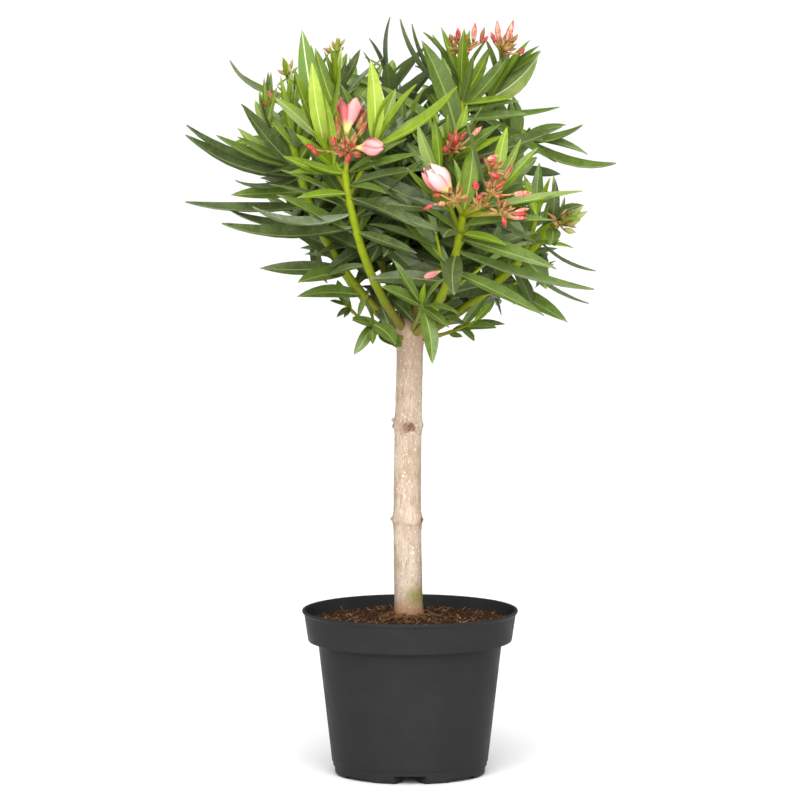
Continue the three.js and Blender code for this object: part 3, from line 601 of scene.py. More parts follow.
# A bough's mesh: how far past its split it runs, its swelling at the trunk and how far that reaches, the
# height of its grain and how deep that is set, and how old its bark looks at the end.
BOUGH = {
    "sides": 18, "rings": 40, "past": 1.01, "swell": 1.6, "reach": 16, "grain": 0.35, "set": 0.1, "age": 0.9,
}
# The length of a step along a stem, and how old a woody stem's bark looks.
STEM_STEP = 3.5
WOODY_AGE = 0.35
# The soil: its rings and sides, how high it is drawn up round the stem and how far, and its depth.
SOIL_RINGS, SOIL_SIDES, SOIL_DEPTH = 60, 160, 14
SOIL_COLLAR = {"height": 5.0, "radius": 15, "reach": 11, "sink": 1.0}
ROOTS = {"count": 110, "steps": 6, "swing": 0.9, "reach": (4, 20), "lift": (0.5, 2.6), "thick": (0.3, 0.75)}
SEEDS = {
    "twigs": 7 * SEED, "ages": 4242, "calyces": 909, "heads": 31, "roots": 58, "warts": 77, "grains": 5,
    "scatter": 11,
}
# The camera: its place, lens and sensor in millimetres, its tilt in degrees, and how far it sees in metres.
CAMERA = {"place": (-9.77, -7000.0, 1180.0), "tilt": 6.628, "lens": 325.9, "sensor": 36.0, "reach": 100.0}
# The least and the most that a crumb of soil leans and turns about x, y and z, in radians.
CRUMB_LEAST, CRUMB_MOST = (-0.7, -0.7, 0), (0.7, 0.7, 6.28)
# The studio floor: how far it reaches, and how far it lies under the pot.
FLOOR_REACH = 30000.0
FLOOR_DROP = 0.3
# The wide even lights: the way each shines, its spread in degrees and its setting.
SUNS = {
    "sky_panel": ((0.05, 0.82, -0.8), 50, "panel"),
    "ceiling_panel": ((0.0, 0.0, -1.0), 60, "ceiling"),
    "rim_panel": ((-0.2, -0.8, -0.8), 60, "rim"),
}
# The lamps, in metres: where each stands, its two sides, its setting and its share of that. All of them look
# at one spot.
LAMPS = {
    "key": ((-1.1, -2.6, 1.5), (1.1, 1.1), "key", 1.0),
    "fill": ((1.3, -2.5, 1.3), (1.1, 1.1), "key", 0.8),
    "top": ((0.1, 0.2, 2.3), (1.2, 1.2), "key", 0.6),
    "front": ((0.3, -7.8, 1.7), (6.0, 3.0), "front", 1.0),
}
LAMPS_LOOK_AT = (0, 0, 0.42)


# Colours of the bark, of a leaf at each age, of a bud's tip, body and sepals, and of the petals. A leaf has
# an upper side and its mottling, a rib, an underside and its mottling, and the upper side's roughness.
BARK = {
    "mid": "#BEA893",
    "pale": "#D0C2B0",
    "dull": "#A38F7A",
    "crack": "#8A6A50",
    "fleck": "#EFE4D6",
    "pit": "#653B20",
    "algae": "#767A26",
    "collar": "#8A5A3A",
    # The darker warm tint on the trunk's top is painted shade from the crown.
    "painted_crown_shade": "#93715A",
}
# Up to what age a leaf has each colouring, and how far its age strays by chance.
AGES = {"old": 0.45, "grown": 0.8, "fresh": 1.06, "new": math.inf}
AGE_STRAY = 0.25
LEAF_TONES = {
    "old": ("#435026", "#5A6A3A", "#7F8F52", "#66764A", "#586840", 0.32),
    "grown": ("#536922", "#667E36", "#8EA052", "#788A4E", "#6A7C44", 0.34),
    "fresh": ("#748E16", "#617C1A", "#A4B65A", "#869A50", "#768C46", 0.36),
    "new": ("#728C08", "#86A212", "#A8C03C", "#88A02C", "#788E24", 0.46),
    "lime": ("#ABC040", "#98B430", "#CFE080", "#A8BE58", "#98AE48", 0.46),
    "cream": ("#CBD690", "#BCCB78", "#E8F0C4", "#B4C884", "#A4BA70", 0.46),
    "pale": ("#6C8A2E", "#5E7C28", "#D6E6AE", "#9AAA5C", "#7C8E46", 0.44),
    # The sheen tone is no age: its grey-green upper side and paler grey mottling are painted sheen.
    "sheen": ("#6C7858", "#8E9A7C", "#A4B088", "#7A8A60", "#6A7A50", 0.34),
}
BUD_TONES = {
    "red": ("#AA2E32", "#C86450", "#8E7040"),
    "pink": ("#CE5450", "#E8B898", "#96804A"),
    "brown": ("#96503A", "#AE8A50", "#7E6C36"),
    "tan": ("#A87C4A", "#B0A058", "#80803A"),
    "green": ("#93A552", "#A9A05C", "#7C8638"),
}
PETAL = {"pale": "#F4DAD5", "pink": "#EDA3A2", "rose": "#C94A50", "throat": "#E8D283", "tube": "#A8A24A"}


# ---------------------------------------------------------------- small helpers


def linear(code):
    """A hex colour such as #4C7A2C as linear red, green and blue."""
    parts = [int(code[i : i + 2], 16) / 255 for i in (1, 3, 5)]
    return tuple(c / 12.92 if c <= 0.04045 else ((c + 0.055) / 1.055) ** 2.4 for c in parts)


def lerp(a, b, share):
    """The value at a share of the way from a to b."""
    return a + (b - a) * share


def bump(x):
    """A bell of height 1 whose reach is x = 1."""
    return math.exp(-x * x)


def seeded(seed):
    """The same small generator as the source's, so that the leaves come out alike."""
    state = [seed & 0xFFFFFFFF]

    def multiply(a, b):
        return (a * b) & 0xFFFFFFFF

    def draw():
        state[0] = (state[0] + 0x6D2B79F5) & 0xFFFFFFFF
        t = multiply(state[0] ^ (state[0] >> 15), 1 | state[0])
        t = ((t + multiply(t ^ (t >> 7), 61 | t)) & 0xFFFFFFFF) ^ t
        return ((t ^ (t >> 14)) & 0xFFFFFFFF) / 4294967296

    return draw


def add_node(tree, kind, settings=None, links=None):
    """Adds a node. settings are its properties and its sockets' values, links are what its sockets get."""
    made = tree.nodes.new(kind)
    for name, value in (settings or {}).items():
        if isinstance(name, str) and hasattr(made, name):
            setattr(made, name, value)
        else:
            made.inputs[name].default_value = value
    for name, source in (links or {}).items():
        tree.links.new(source, made.inputs[name])
    return made


def store(mesh, name, kind, values, field="value", domain="POINT"):
    """Gives a mesh an attribute, with its values in one flat row."""
    mesh.attributes.new(name, kind, domain).data.foreach_set(field, values)


def circle(radius, height, sides, middle=(0, 0)):
    """Points round a level circle."""
    turns = [2 * math.pi * k / sides for k in range(sides)]
    return [(middle[0] + radius * math.cos(a), middle[1] + radius * math.sin(a), height) for a in turns]


def link(piece):
    """Puts an object in the scene."""
    bpy.context.scene.collection.objects.link(piece)
    return piece


def mesh_piece(name, vertices, faces, materials, slots=None, smooth=True):
    """A piece from points in millimetres. slots gives each face's material."""
    mesh = bpy.data.meshes.new(name)
    mesh.from_pydata((np.asarray(vertices, float) * MM).tolist(), [], [list(f) for f in faces])
    for material in materials:
        mesh.materials.append(material)
    mesh.polygons.foreach_set("use_smooth", [smooth] * len(mesh.polygons))
    if slots is not None:
        mesh.polygons.foreach_set("material_index", slots)
    mesh.update()
    return link(bpy.data.objects.new(name, mesh))


def grid_faces(rings, sides, start=0):
    """The four-sided faces of a tube of rings."""
    faces = []
    for i in range(rings - 1):
        for k in range(sides):
            a, b = start + i * sides + k, start + i * sides + (k + 1) % sides
            faces.append((a, b, b + sides, a + sides))
    return faces


def prism_faces(sides):
    """The faces of two rings with a flat end on each."""
    return grid_faces(2, sides) + [tuple(range(sides))[::-1], tuple(range(sides, 2 * sides))]


def end_fans(rings, sides, low, high):
    """The fans that close a tube of rings, round the points numbered low and high."""
    faces = []
    for k in range(sides):
        after, last = (k + 1) % sides, (rings - 1) * sides
        faces += [(low, after, k), (high, last + k, last + after)]
    return faces


def form_piece(name, vertices, faces):
    """A form in millimetres for the scatter tree."""
    mesh = bpy.data.meshes.new(name)
    mesh.from_pydata([tuple(Vector(v) * MM) for v in vertices], [], faces)
    return mesh


def keep(piece, slot, *nodes):
    """Makes a finished piece ride on the plant and stand for its nodes, which it hides; its slot is not used.
    """
    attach(piece, BODY)
    if nodes:
        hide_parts(*nodes)
    return piece


# ---------------------------------------------------------------- trees of Geometry Nodes


def new_tree(name, sockets):
    """An empty tree with named inputs. sockets maps a name to its kind and default."""
    tree = bpy.data.node_groups.new(name, "GeometryNodeTree")
    tree.interface.new_socket("Geometry", in_out="INPUT", socket_type="NodeSocketGeometry")
    for socket, (kind, default) in sockets.items():
        made = tree.interface.new_socket(socket, in_out="INPUT", socket_type="NodeSocket" + kind)
        if default is not None:
            made.default_value = default
    tree.interface.new_socket("Geometry", in_out="OUTPUT", socket_type="NodeSocketGeometry")
    return tree, add_node(tree, "NodeGroupInput").outputs


def close_tree(tree, geometry):
    """Leads the geometry to the tree's output."""
    add_node(tree, "NodeGroupOutput", links={"Geometry": geometry})
    return tree


def run_tree(name, carrier, tree, values):
    """Runs a tree on a carrier, and gives the result as a plain mesh piece."""
    modifier = carrier.modifiers.new("grow", "NODES")
    modifier.node_group = tree
    sockets = {s.name: s.identifier for s in tree.interface.items_tree if s.in_out == "INPUT"}
    for socket, value in values.items():
        modifier[sockets[socket]] = value
    graph = bpy.context.evaluated_depsgraph_get()
    mesh = bpy.data.meshes.new_from_object(
        carrier.evaluated_get(graph), preserve_all_data_layers=True, depsgraph=graph
    )
    bpy.data.objects.remove(carrier)
    mesh.name = name
    return link(bpy.data.objects.new(name, mesh))


def forms_of(tree, collection):
    """The forms of a collection, one by one, for a tree to pick from."""
    settings = {"Separate Children": True, "Reset Children": True}
    return add_node(tree, "GeometryNodeCollectionInfo", settings, {"Collection": collection}).outputs[0]


def realized(tree, geometry):
    """A plain mesh of instances."""
    return add_node(tree, "GeometryNodeRealizeInstances", links={"Geometry": geometry}).outputs[0]


def clad(tree, geometry, material, **selection):
    """A mesh in a material, all of it or the faces of a selection."""
    links = {"Geometry": geometry, "Material": material, **selection}
    return add_node(tree, "GeometryNodeSetMaterial", links=links).outputs[0]


@functools.cache
def spray_tree():
    """Sets blades or buds from a collection of forms on points, and gives each skin its material."""
    tree, given = new_tree(
        "oleander_spray",
        {
            "Forms": ("Collection", None),
            "Length factor": ("Float", 1.0),
            "Width factor": ("Float", 1.0),
            "Upper skin": ("Material", None),
            "Rib": ("Material", None),
            "Lower skin": ("Material", None),
        },
    )
    forms = forms_of(tree, given["Forms"])
    size, form, turn, skin = (
        add_node(tree, "GeometryNodeInputNamedAttribute", {"data_type": kind, "Name": name}).outputs[0]
        for name, kind in (("size", "FLOAT_VECTOR"), ("form", "INT"), ("turn", "QUATERNION"), ("skin", "INT"))
    )
    factors = add_node(
        tree, "ShaderNodeCombineXYZ",
        links={"X": given["Width factor"], "Y": given["Length factor"], "Z": given["Length factor"]},
    )
    scale = add_node(
        tree, "ShaderNodeVectorMath", {"operation": "MULTIPLY"}, {0: size, 1: factors.outputs[0]}
    )
    placed = add_node(
        tree, "GeometryNodeInstanceOnPoints", {"Pick Instance": True},
        {
            "Points": given["Geometry"],
            "Instance": forms,
            "Instance Index": form,
            "Rotation": turn,
            "Scale": scale.outputs[0],
        },
    )
    shape = realized(tree, placed.outputs[0])
    for number, side in enumerate(("Upper skin", "Rib", "Lower skin")):
        settings = {"data_type": "INT", "operation": "EQUAL", 3: number}
        same = add_node(tree, "FunctionNodeCompare", settings, {2: skin}).outputs[0]
        shape = clad(tree, shape, given[side], Selection=same)
    return close_tree(tree, shape)


@functools.cache
def stem_tree():
    """Sweeps a round section along polylines whose points hold their own thickness."""
    tree, given = new_tree(
        "oleander_stems",
        {"Sides": ("Int", 8), "Bark": ("Material", None)},
    )
    curve = add_node(tree, "GeometryNodeMeshToCurve", links={"Mesh": given["Geometry"]})
    section = add_node(
        tree, "GeometryNodeCurvePrimitiveCircle", {"Radius": 1.0}, {"Resolution": given["Sides"]}
    )
    thick = add_node(tree, "GeometryNodeInputNamedAttribute", {"data_type": "FLOAT", "Name": "thick"})
    swept = add_node(
        tree, "GeometryNodeCurveToMesh", {"Fill Caps": True},
        {"Curve": curve.outputs[0], "Profile Curve": section.outputs[0], "Scale": thick.outputs[0]},
    )
    whole = realized(tree, swept.outputs[0])
    smooth = add_node(tree, "GeometryNodeSetShadeSmooth", links={"Geometry": whole}).outputs[0]
    return close_tree(tree, clad(tree, smooth, given["Bark"]))


def scatter_tree():
    """Scatters crumbs from a collection of forms over a surface, each turned and sized by chance."""
    tree, given = new_tree(
        "potting_soil_crumbs",
        {
            "Forms": ("Collection", None),
            "Density": ("Float", 40000.0),
            "Smallest": ("Float", 0.5),
            "Largest": ("Float", 1.5),
            "Seed": ("Int", 1),
            "Crumb": ("Material", None),
        },
    )
    spots = add_node(
        tree, "GeometryNodeDistributePointsOnFaces",
        links={"Mesh": given["Geometry"], "Density": given["Density"], "Seed": given["Seed"]},
    )
    forms = forms_of(tree, given["Forms"])
    spin = add_node(
        tree, "FunctionNodeRandomValue",
        {"data_type": "FLOAT_VECTOR", 0: CRUMB_LEAST, 1: CRUMB_MOST},
        {"Seed": given["Seed"]},
    )
    size = add_node(
        tree, "FunctionNodeRandomValue", {"data_type": "FLOAT"},
        {2: given["Smallest"], 3: given["Largest"], "Seed": given["Seed"]},
    )
    turn = add_node(tree, "FunctionNodeEulerToRotation", links={0: spin.outputs[0]})
    placed = add_node(
        tree, "GeometryNodeInstanceOnPoints", {"Pick Instance": True},
        {
            "Points": spots.outputs[0],
            "Instance": forms,
            "Rotation": turn.outputs[0],
            "Scale": size.outputs[1],
        },
    )
    return close_tree(tree, clad(tree, realized(tree, placed.outputs[0]), given["Crumb"]))


def forms_collection(name, meshes):
    """A collection of form objects, in order, for a tree to pick from."""
    made = bpy.data.collections.new(name)
    bpy.context.scene.collection.children.link(made)
    for i, mesh in enumerate(meshes):
        made.objects.link(bpy.data.objects.new(f"{name}_{i:02d}", mesh))
    return made


def drop_collection(made):
    """Removes a collection of forms with its objects."""
    for form in list(made.objects):
        bpy.data.objects.remove(form)
    bpy.data.collections.remove(made)


def points_carrier(name, items):
    """A mesh of loose points with the turn, size and form of what is to stand on each."""
    mesh = bpy.data.meshes.new(name)
    mesh.from_pydata([tuple(item["root"] * MM) for item in items], [], [])
    store(mesh, "turn", "QUATERNION", [c for item in items for c in item["turn"]])
    store(mesh, "size", "FLOAT_VECTOR", [c * MM for item in items for c in item["size"]], "vector")
    store(mesh, "form", "INT", [item["form"] for item in items])
    return link(bpy.data.objects.new(name, mesh))


def lines_carrier(name, lines):
    """A mesh of polylines whose points hold a thickness and an age."""
    points = [tuple(p * MM) for line in lines for p in line["points"]]
    edges, start = [], 0
    for line in lines:
        count = len(line["points"])
        edges += [(start + i, start + i + 1) for i in range(count - 1)]
        start += count
    mesh = bpy.data.meshes.new(name)
    mesh.from_pydata(points, edges, [])
    store(mesh, "thick", "FLOAT", [r * MM for line in lines for r in line["radii"]])
    store(mesh, "age", "FLOAT", [a for line in lines for a in line["ages"]])
    return link(bpy.data.objects.new(name, mesh))


# ---------------------------------------------------------------- materials


def new_material(name, colour, roughness, **sockets):
    """A Principled material with its plain values set on the shader's own sockets."""
    material = bpy.data.materials.new(name)
    material.use_nodes = True
    shader = material.node_tree.nodes["Principled BSDF"]
    shader.inputs["Base Color"].default_value = (*linear(colour), 1)
    shader.inputs["Roughness"].default_value = roughness
    for socket, value in sockets.items():
        shader.inputs[socket.replace("_", " ")].default_value = value
    return material


def blotches(tree, size, stretch=(1, 1, 1), detail=4.0, rough=0.6):
    """A pattern of blotches about size millimetres across, packed closer along each axis by stretch."""
    place = add_node(tree, "ShaderNodeTexCoord").outputs["Object"]
    scale = tuple(s / (size * MM) for s in stretch)
    spread = add_node(tree, "ShaderNodeMapping", {"Scale": scale}, {"Vector": place})
    return add_node(
        tree, "ShaderNodeTexNoise", {"Scale": 1.0, "Detail": detail, "Roughness": rough},
        {"Vector": spread.outputs[0]},
    ).outputs["Fac"]


def tint(tree, base, colour, pattern, low, high, most=1.0):
    """Lays a colour over the base, a hex colour or a socket, where a pattern goes from low to high."""
    share = add_node(
        tree, "ShaderNodeMapRange", {"From Min": low, "From Max": high, "To Min": 0.0, "To Max": most},
        {"Value": pattern},
    )
    settings, links = {"data_type": "RGBA", 7: (*linear(colour), 1)}, {0: share.outputs[0]}
    if isinstance(base, str):
        settings[6] = (*linear(base), 1)
    else:
        links[6] = base
    return add_node(tree, "ShaderNodeMix", settings, links).outputs[2]


def layered(tree, base, *layers):
    """Lays colours over the base in turn, each as tint takes it."""
    for layer in layers:
        base = tint(tree, base, *layer)
    return base


def attribute(tree, name):
    """What a mesh attribute says, as a pattern."""
    return add_node(tree, "ShaderNodeAttribute", {"attribute_name": name}).outputs["Fac"]


def finish(material, colour, relief, depth, strength=1.0):
    """Gives a material its colour and its relief of a depth in millimetres."""
    tree = material.node_tree
    shader = tree.nodes["Principled BSDF"]
    tree.links.new(colour, shader.inputs["Base Color"])
    settings = {"Strength": strength, "Distance": depth * MM}
    raised = add_node(tree, "ShaderNodeBump", settings, {"Height": relief})
    tree.links.new(raised.outputs[0], shader.inputs["Normal"])
    return material


def nursery_polypropylene():
    """Injection-moulded black polypropylene: a soft satin sheen, a trace of grey dust, the mould's fine spark
    texture.
    """
    material = new_material("moulded black polypropylene", "#2A2A2B", 0.5, Specular_IOR_Level=0.06, IOR=1.49)
    tree = material.node_tree
    # Dust lies in soft clouds some 25 mm across.
    clouds = blotches(tree, 25, detail=5.0)
    colour = tint(tree, "#2A2A2B", "#383632", clouds, 0.42, 0.8, 0.35)
    rough = add_node(
        tree, "ShaderNodeMapRange", {"From Min": 0.3, "From Max": 0.75, "To Min": 0.42, "To Max": 0.58},
        {"Value": clouds},
    )
    tree.links.new(rough.outputs[0], tree.nodes["Principled BSDF"].inputs["Roughness"])
    # The mould's fine spark texture, 0.1 mm across in life, is drawn at 0.9 mm so that it shows.
    return finish(material, colour, blotches(tree, 0.9, detail=2.0), 0.05, 0.35)


def damp_peat(name, dark, light):
    """Moist peat: almost black pits, brown crumbs 2 to 4 mm across, no sheen."""
    material = new_material(name, dark, 0.95, Specular_IOR_Level=0.15)
    tree = material.node_tree
    colour = tint(tree, dark, light, blotches(tree, 3, detail=6.0, rough=0.7), 0.36, 0.68)
    return finish(material, colour, blotches(tree, 1.2), 0.6, 0.8)


def oleander_bark():
    """Corky pale bark of an old oleander stem: fine upright cracks, pale warts, algae near the soil."""
    material = new_material("pale oleander bark", BARK["mid"], 0.9, Specular_IOR_Level=0.08)
    tree = material.node_tree
    place = add_node(tree, "ShaderNodeTexCoord").outputs["Object"]
    height = add_node(tree, "ShaderNodeSeparateXYZ", links={"Vector": place}).outputs["Z"]
    # Broad patches 20 mm wide and 40 mm tall, from greyish tan to pale pinkish beige.
    patches = blotches(tree, 20, (1, 1, 0.5))
    # Cracks 1.7 mm apart and some 10 mm long, and flecks of paler cork about 2 mm across.
    cracks = blotches(tree, 1.7, (1, 1, 0.16), 5.0, 0.65)
    flecks = blotches(tree, 2.2, (1, 1, 0.7), 3.0, 0.5)
    # The mesh tells how dark a pit or old scar is, and how green the film of algae. Over them lie a reddish
    # collar at the soil and, under the leaves, a darker warm tint that is painted shade from the crown, both
    # by height in metres.
    colour = layered(
        tree, BARK["mid"],
        (BARK["pale"], patches, 0.48, 0.72),
        (BARK["dull"], patches, 0.5, 0.28, 0.7),
        (BARK["crack"], cracks, 0.47, 0.32, 0.6),
        (BARK["fleck"], flecks, 0.6, 0.7, 0.8),
        (BARK["pit"], attribute(tree, "shade"), 0.0, 1.0),
        (BARK["algae"], attribute(tree, "algae"), 0.0, 1.0),
        (BARK["collar"], height, 0.174, 0.158, 0.85),
        (BARK["painted_crown_shade"], height, 0.395, 0.445, 0.7),
    )
    return finish(material, colour, blotches(tree, 0.9, (1, 1, 0.4), 5.0, 0.65), 0.5, 0.7)


def green_bark():
    """Smooth bark of young shoots: waxy yellow-green, turning tan and dull where it is oldest."""
    material = new_material("young green bark", "#87980A", 0.5, Specular_IOR_Level=0.2)
    tree = material.node_tree
    age = attribute(tree, "age")
    # The last layer is a faint mottling some 5 mm across.
    colour = layered(
        tree, "#75642F",
        ("#747C12", age, 0.0, 0.3),
        ("#87980A", age, 0.25, 0.6),
        ("#92A416", age, 0.6, 1.0),
        ("#5F6416", blotches(tree, 5), 0.45, 0.75, 0.5),
    )
    return finish(material, colour, blotches(tree, 1.2, (1, 1, 0.3), 3.0, 0.5), 0.3, 0.6)


def leaf_surface(name, colour, mottle, roughness, specular):
    """Leathery leaf skin: a waxy sheen over faint mottling, a fine side-vein grain, and pale specks on it
    that are partly water spots and partly painted highlight.
    """
    material = new_material(name, colour, roughness, Specular_IOR_Level=specular)
    tree = material.node_tree
    shades = tint(tree, colour, mottle, blotches(tree, 12, detail=6.0, rough=0.7), 0.38, 0.64)
    # The side-vein grain, its lines half a millimetre apart in life, is drawn at 1.4 mm so that it shows. The
    # pale grey-green specks laid on it are partly water spots and partly painted highlight.
    vein_grain_spots_and_painted_glints = blotches(tree, 1.4, detail=3.0)
    shades = tint(tree, shades, "#A9B18C", vein_grain_spots_and_painted_glints, 0.58, 0.72, 0.45)
    return finish(material, shades, vein_grain_spots_and_painted_glints, 0.25, 0.7)


def bud_skin(name, colour, streak, roughness):
    """Fleshy bud skin with upright streaks of a second colour, a millimetre or two apart."""
    material = new_material(name, colour, roughness, Specular_IOR_Level=0.35)
    tree = material.node_tree
    shades = tint(tree, colour, streak, blotches(tree, 2.4, (1, 1, 0.35), 3.0), 0.46, 0.64)
    return finish(material, shades, blotches(tree, 1.2), 0.15, 0.5)


def leaf_skins(tone):
    """The three skins of one age of leaf: waxed upper side, pale rib and matt underside."""
    upper, mottle, rib, lower, dull, roughness = LEAF_TONES[tone]
    return (
        leaf_surface(f"waxed {tone} leaf", upper, mottle, roughness, 0.5),
        new_material(f"{tone} leaf rib", rib, 0.5, Specular_IOR_Level=0.35),
        leaf_surface(f"matt {tone} leaf underside", lower, dull, 0.6, 0.3),
    )


def stalk_skin():
    """Flower stalks: green where they leave the shoot, then peach-tan up to the buds."""
    material = new_material("tan flower stalk", "#B08A58", 0.5, Specular_IOR_Level=0.3)
    tree = material.node_tree
    age = attribute(tree, "age")
    colour = layered(tree, "#8C9A1C", ("#A89446", age, 0.1, 0.5), ("#B9885C", age, 0.6, 1.0))
    return finish(material, colour, blotches(tree, 1.2), 0.2, 0.5)


def petal_satin():
    """Thin petals with a satin bloom: pale in the middle, rose at the folds, yellow at the throat."""
    material = new_material("satin oleander petal", PETAL["pale"], 0.45, Specular_IOR_Level=0.3)
    tree = material.node_tree
    blush, up = attribute(tree, "blush"), attribute(tree, "up")
    colour = layered(
        tree, PETAL["pale"],
        (PETAL["pink"], blush, 0.0, 0.5),
        (PETAL["rose"], blush, 0.45, 1.0),
        (PETAL["throat"], up, 0.42, 0.22),
        (PETAL["tube"], up, 0.16, 0.04),
    )
    # Fine veins run up each petal about a millimetre apart.
    return finish(material, colour, blotches(tree, 1.1, (1, 1, 0.25), 2.0), 0.15, 0.4)


# ---------------------------------------------------------------- the rule of trunk, limbs and leaves


def trunk_foot():
    """The height of the trunk's flat cut."""
    return SOIL_TOP + SOIL_MOUND - STEM_SEAT + GAP


def trunk_radius(height):
    """The tapering trunk with its root flare, its knots and its swollen head."""
    above = height - trunk_foot()
    taper = lerp(TRUNK_RADIUS[0], TRUNK_RADIUS[1], above / (HEAD_HEIGHT - trunk_foot()))
    flare = (TRUNK_FLARE - TRUNK_RADIUS[0]) * math.exp(-above / TRUNK_FLARE_REACH)
    swell = sum(KNOT_SWELL * bump((height - knot) / KNOT_REACH) for knot in TRUNK_KNOTS)
    head = (HEAD_RADIUS - TRUNK_RADIUS[1]) * bump((height - HEAD_HEIGHT) / HEAD_REACH)
    return taper + flare + swell + head


def trunk_centre(height):
    """The middle of the trunk, which sways a little."""
    start, amount, turns = TRUNK_SWAY
    share = (height - trunk_foot()) / (TRUNK_TOP - trunk_foot())
    sway = amount * math.sin(share * turns)
    return Vector((start - sway, sway / 2, height))


class Arc:
    """A three-point curve that is walked by its length, as the source's limbs are."""

    STEPS = 200

    def __init__(self, start, bend, end):
        self.points = (start, bend, end)
        walk = [self.at(i / self.STEPS) for i in range(self.STEPS + 1)]
        self.lengths = [0.0]
        for a, b in zip(walk, walk[1:]):
            self.lengths.append(self.lengths[-1] + (b - a).length)

    def at(self, t):
        """The point for the curve's own number t."""
        a, b, c = self.points
        return a * (1 - t) ** 2 + b * (2 * t * (1 - t)) + c * t * t

    def t_of(self, share):
        """The number t at a share of the length."""
        goal = share * self.lengths[-1]
        i = min(int(np.searchsorted(self.lengths, goal, "right")) - 1, self.STEPS - 1)
        step = self.lengths[i + 1] - self.lengths[i]
        return (i + (goal - self.lengths[i]) / step) / self.STEPS

    def point(self, share):
        return self.at(self.t_of(share))

    def tangent(self, share):
        """The way the curve runs at a share of its length."""
        a, b, c = self.points
        t = self.t_of(share)
        return ((b - a) * (2 * (1 - t)) + (c - b) * (2 * t)).normalized()


def limb_arc(limb):
    """The curve of a limb: it leaves the trunk sideways and then turns up."""
    start, end = trunk_centre(limb["foot"]), Vector(limb["tip"])
    spread, rise = limb["spread"], limb["rise"]
    bend = Vector((lerp(start.x, end.x, spread), lerp(start.y, end.y, spread), lerp(start.z, end.z, rise)))
    return Arc(start, bend, end)


def side_arc(parent, at, tip, arch=SIDE["arch"]):
    """The curve of a side shoot from a place on its parent."""
    start, end = parent.point(at), Vector(tip)
    bend = start.lerp(end, 0.5) + parent.tangent(at) * arch - Vector((0, 0, arch))
    return Arc(start, bend, end)


def bough_radius(share):
    """A bough's radius at a share of its length."""
    return lerp(*BOUGH_RADIUS, share**BOUGH_TAPER)


def leaf_frame(root, axis, bearing, lean, twist):
    """The heading, upper face and side of a leaf, as in the source."""
    right = (Vector((1, 0, 0)) - axis * axis.x).normalized()
    away = axis.cross(right)
    out = right * math.cos(bearing) + away * math.sin(bearing)
    heading = axis * math.cos(lean) + out * math.sin(lean)
    face = axis * math.sin(lean) - out * math.cos(lean)
    face += (LIGHT_FRONT if root.y < LIGHT_BORDER else LIGHT_BACK) * LIGHT_PULL
    face = (face - heading * face.dot(heading)).normalized()
    face = Quaternion(heading, twist) @ face
    return heading, face


def arched(bend, share):
    """How far ahead and down an arch of unit length has come at a share of it."""
    if abs(bend) < 1e-3:
        return share, 0
    return math.sin(bend * share) / bend, (1 - math.cos(bend * share)) / bend


def leaf_points(root, heading, face, length, width, bend):
    """Points along a leaf's midline and edges, for the tests of its space."""
    side = heading.cross(face)
    points = []
    for s in (0.25, 0.4, 0.55, 0.7, 0.85, 1.0):
        ahead, down = arched(bend, s)
        middle = root + heading * length * ahead - face * length * down
        half = width * (0.45 if s < 0.8 else 0.25)
        points += [middle + side * half, middle - side * half, middle]
    return points


def beyond_dome(spots):
    """True where any spot stands out of the dome."""
    out = (spots - np.array(DOME["middle"])) / np.array(DOME["reach"])
    return ((out**2).sum(1) > 1).any()


def under_bowl(spots):
    """True where any spot hangs lower than the foliage does there."""
    aside = np.hypot(spots[:, 0], spots[:, 1])
    to_right = (1 + spots[:, 0] / np.maximum(aside, 1)) / 2
    slope = lerp(BOWL["left"], BOWL["right"], to_right)
    floor = BOWL["bottom"] + slope * np.maximum(aside - BOWL["reach"], 0) - BOWL["forward"] * spots[:, 1]
    return (spots[:, 2] < floor).any()


def shown_leaf(root, row):
    """A leaf of the list of those that stand out, on its root."""
    _, x, height, reach, width, tone, arch, roll = row
    rise = height - root.z - ELEVATION_RISE * root.y
    depth = math.sqrt(max(reach**2 - (x - root.x) ** 2 - rise**2, 0))
    y = max(root.y - depth, FOREMOST)
    chord = Vector((x, y, height - ELEVATION_RISE * y)) - root
    bend, half = math.radians(arch), math.radians(arch) / 2
    length = chord.length * (half / math.sin(half) if half else 1)
    along = chord.normalized()
    face = (LIGHT_SHOWN - along * along.dot(LIGHT_SHOWN)).normalized()
    face = Quaternion(along, math.radians(roll)) @ face
    heading = along * math.cos(half) + face * math.sin(half)
    upper = face * math.cos(half) - along * math.sin(half)
    return leaf_item(root, heading, upper, length, width, bend, 0.5, tone)


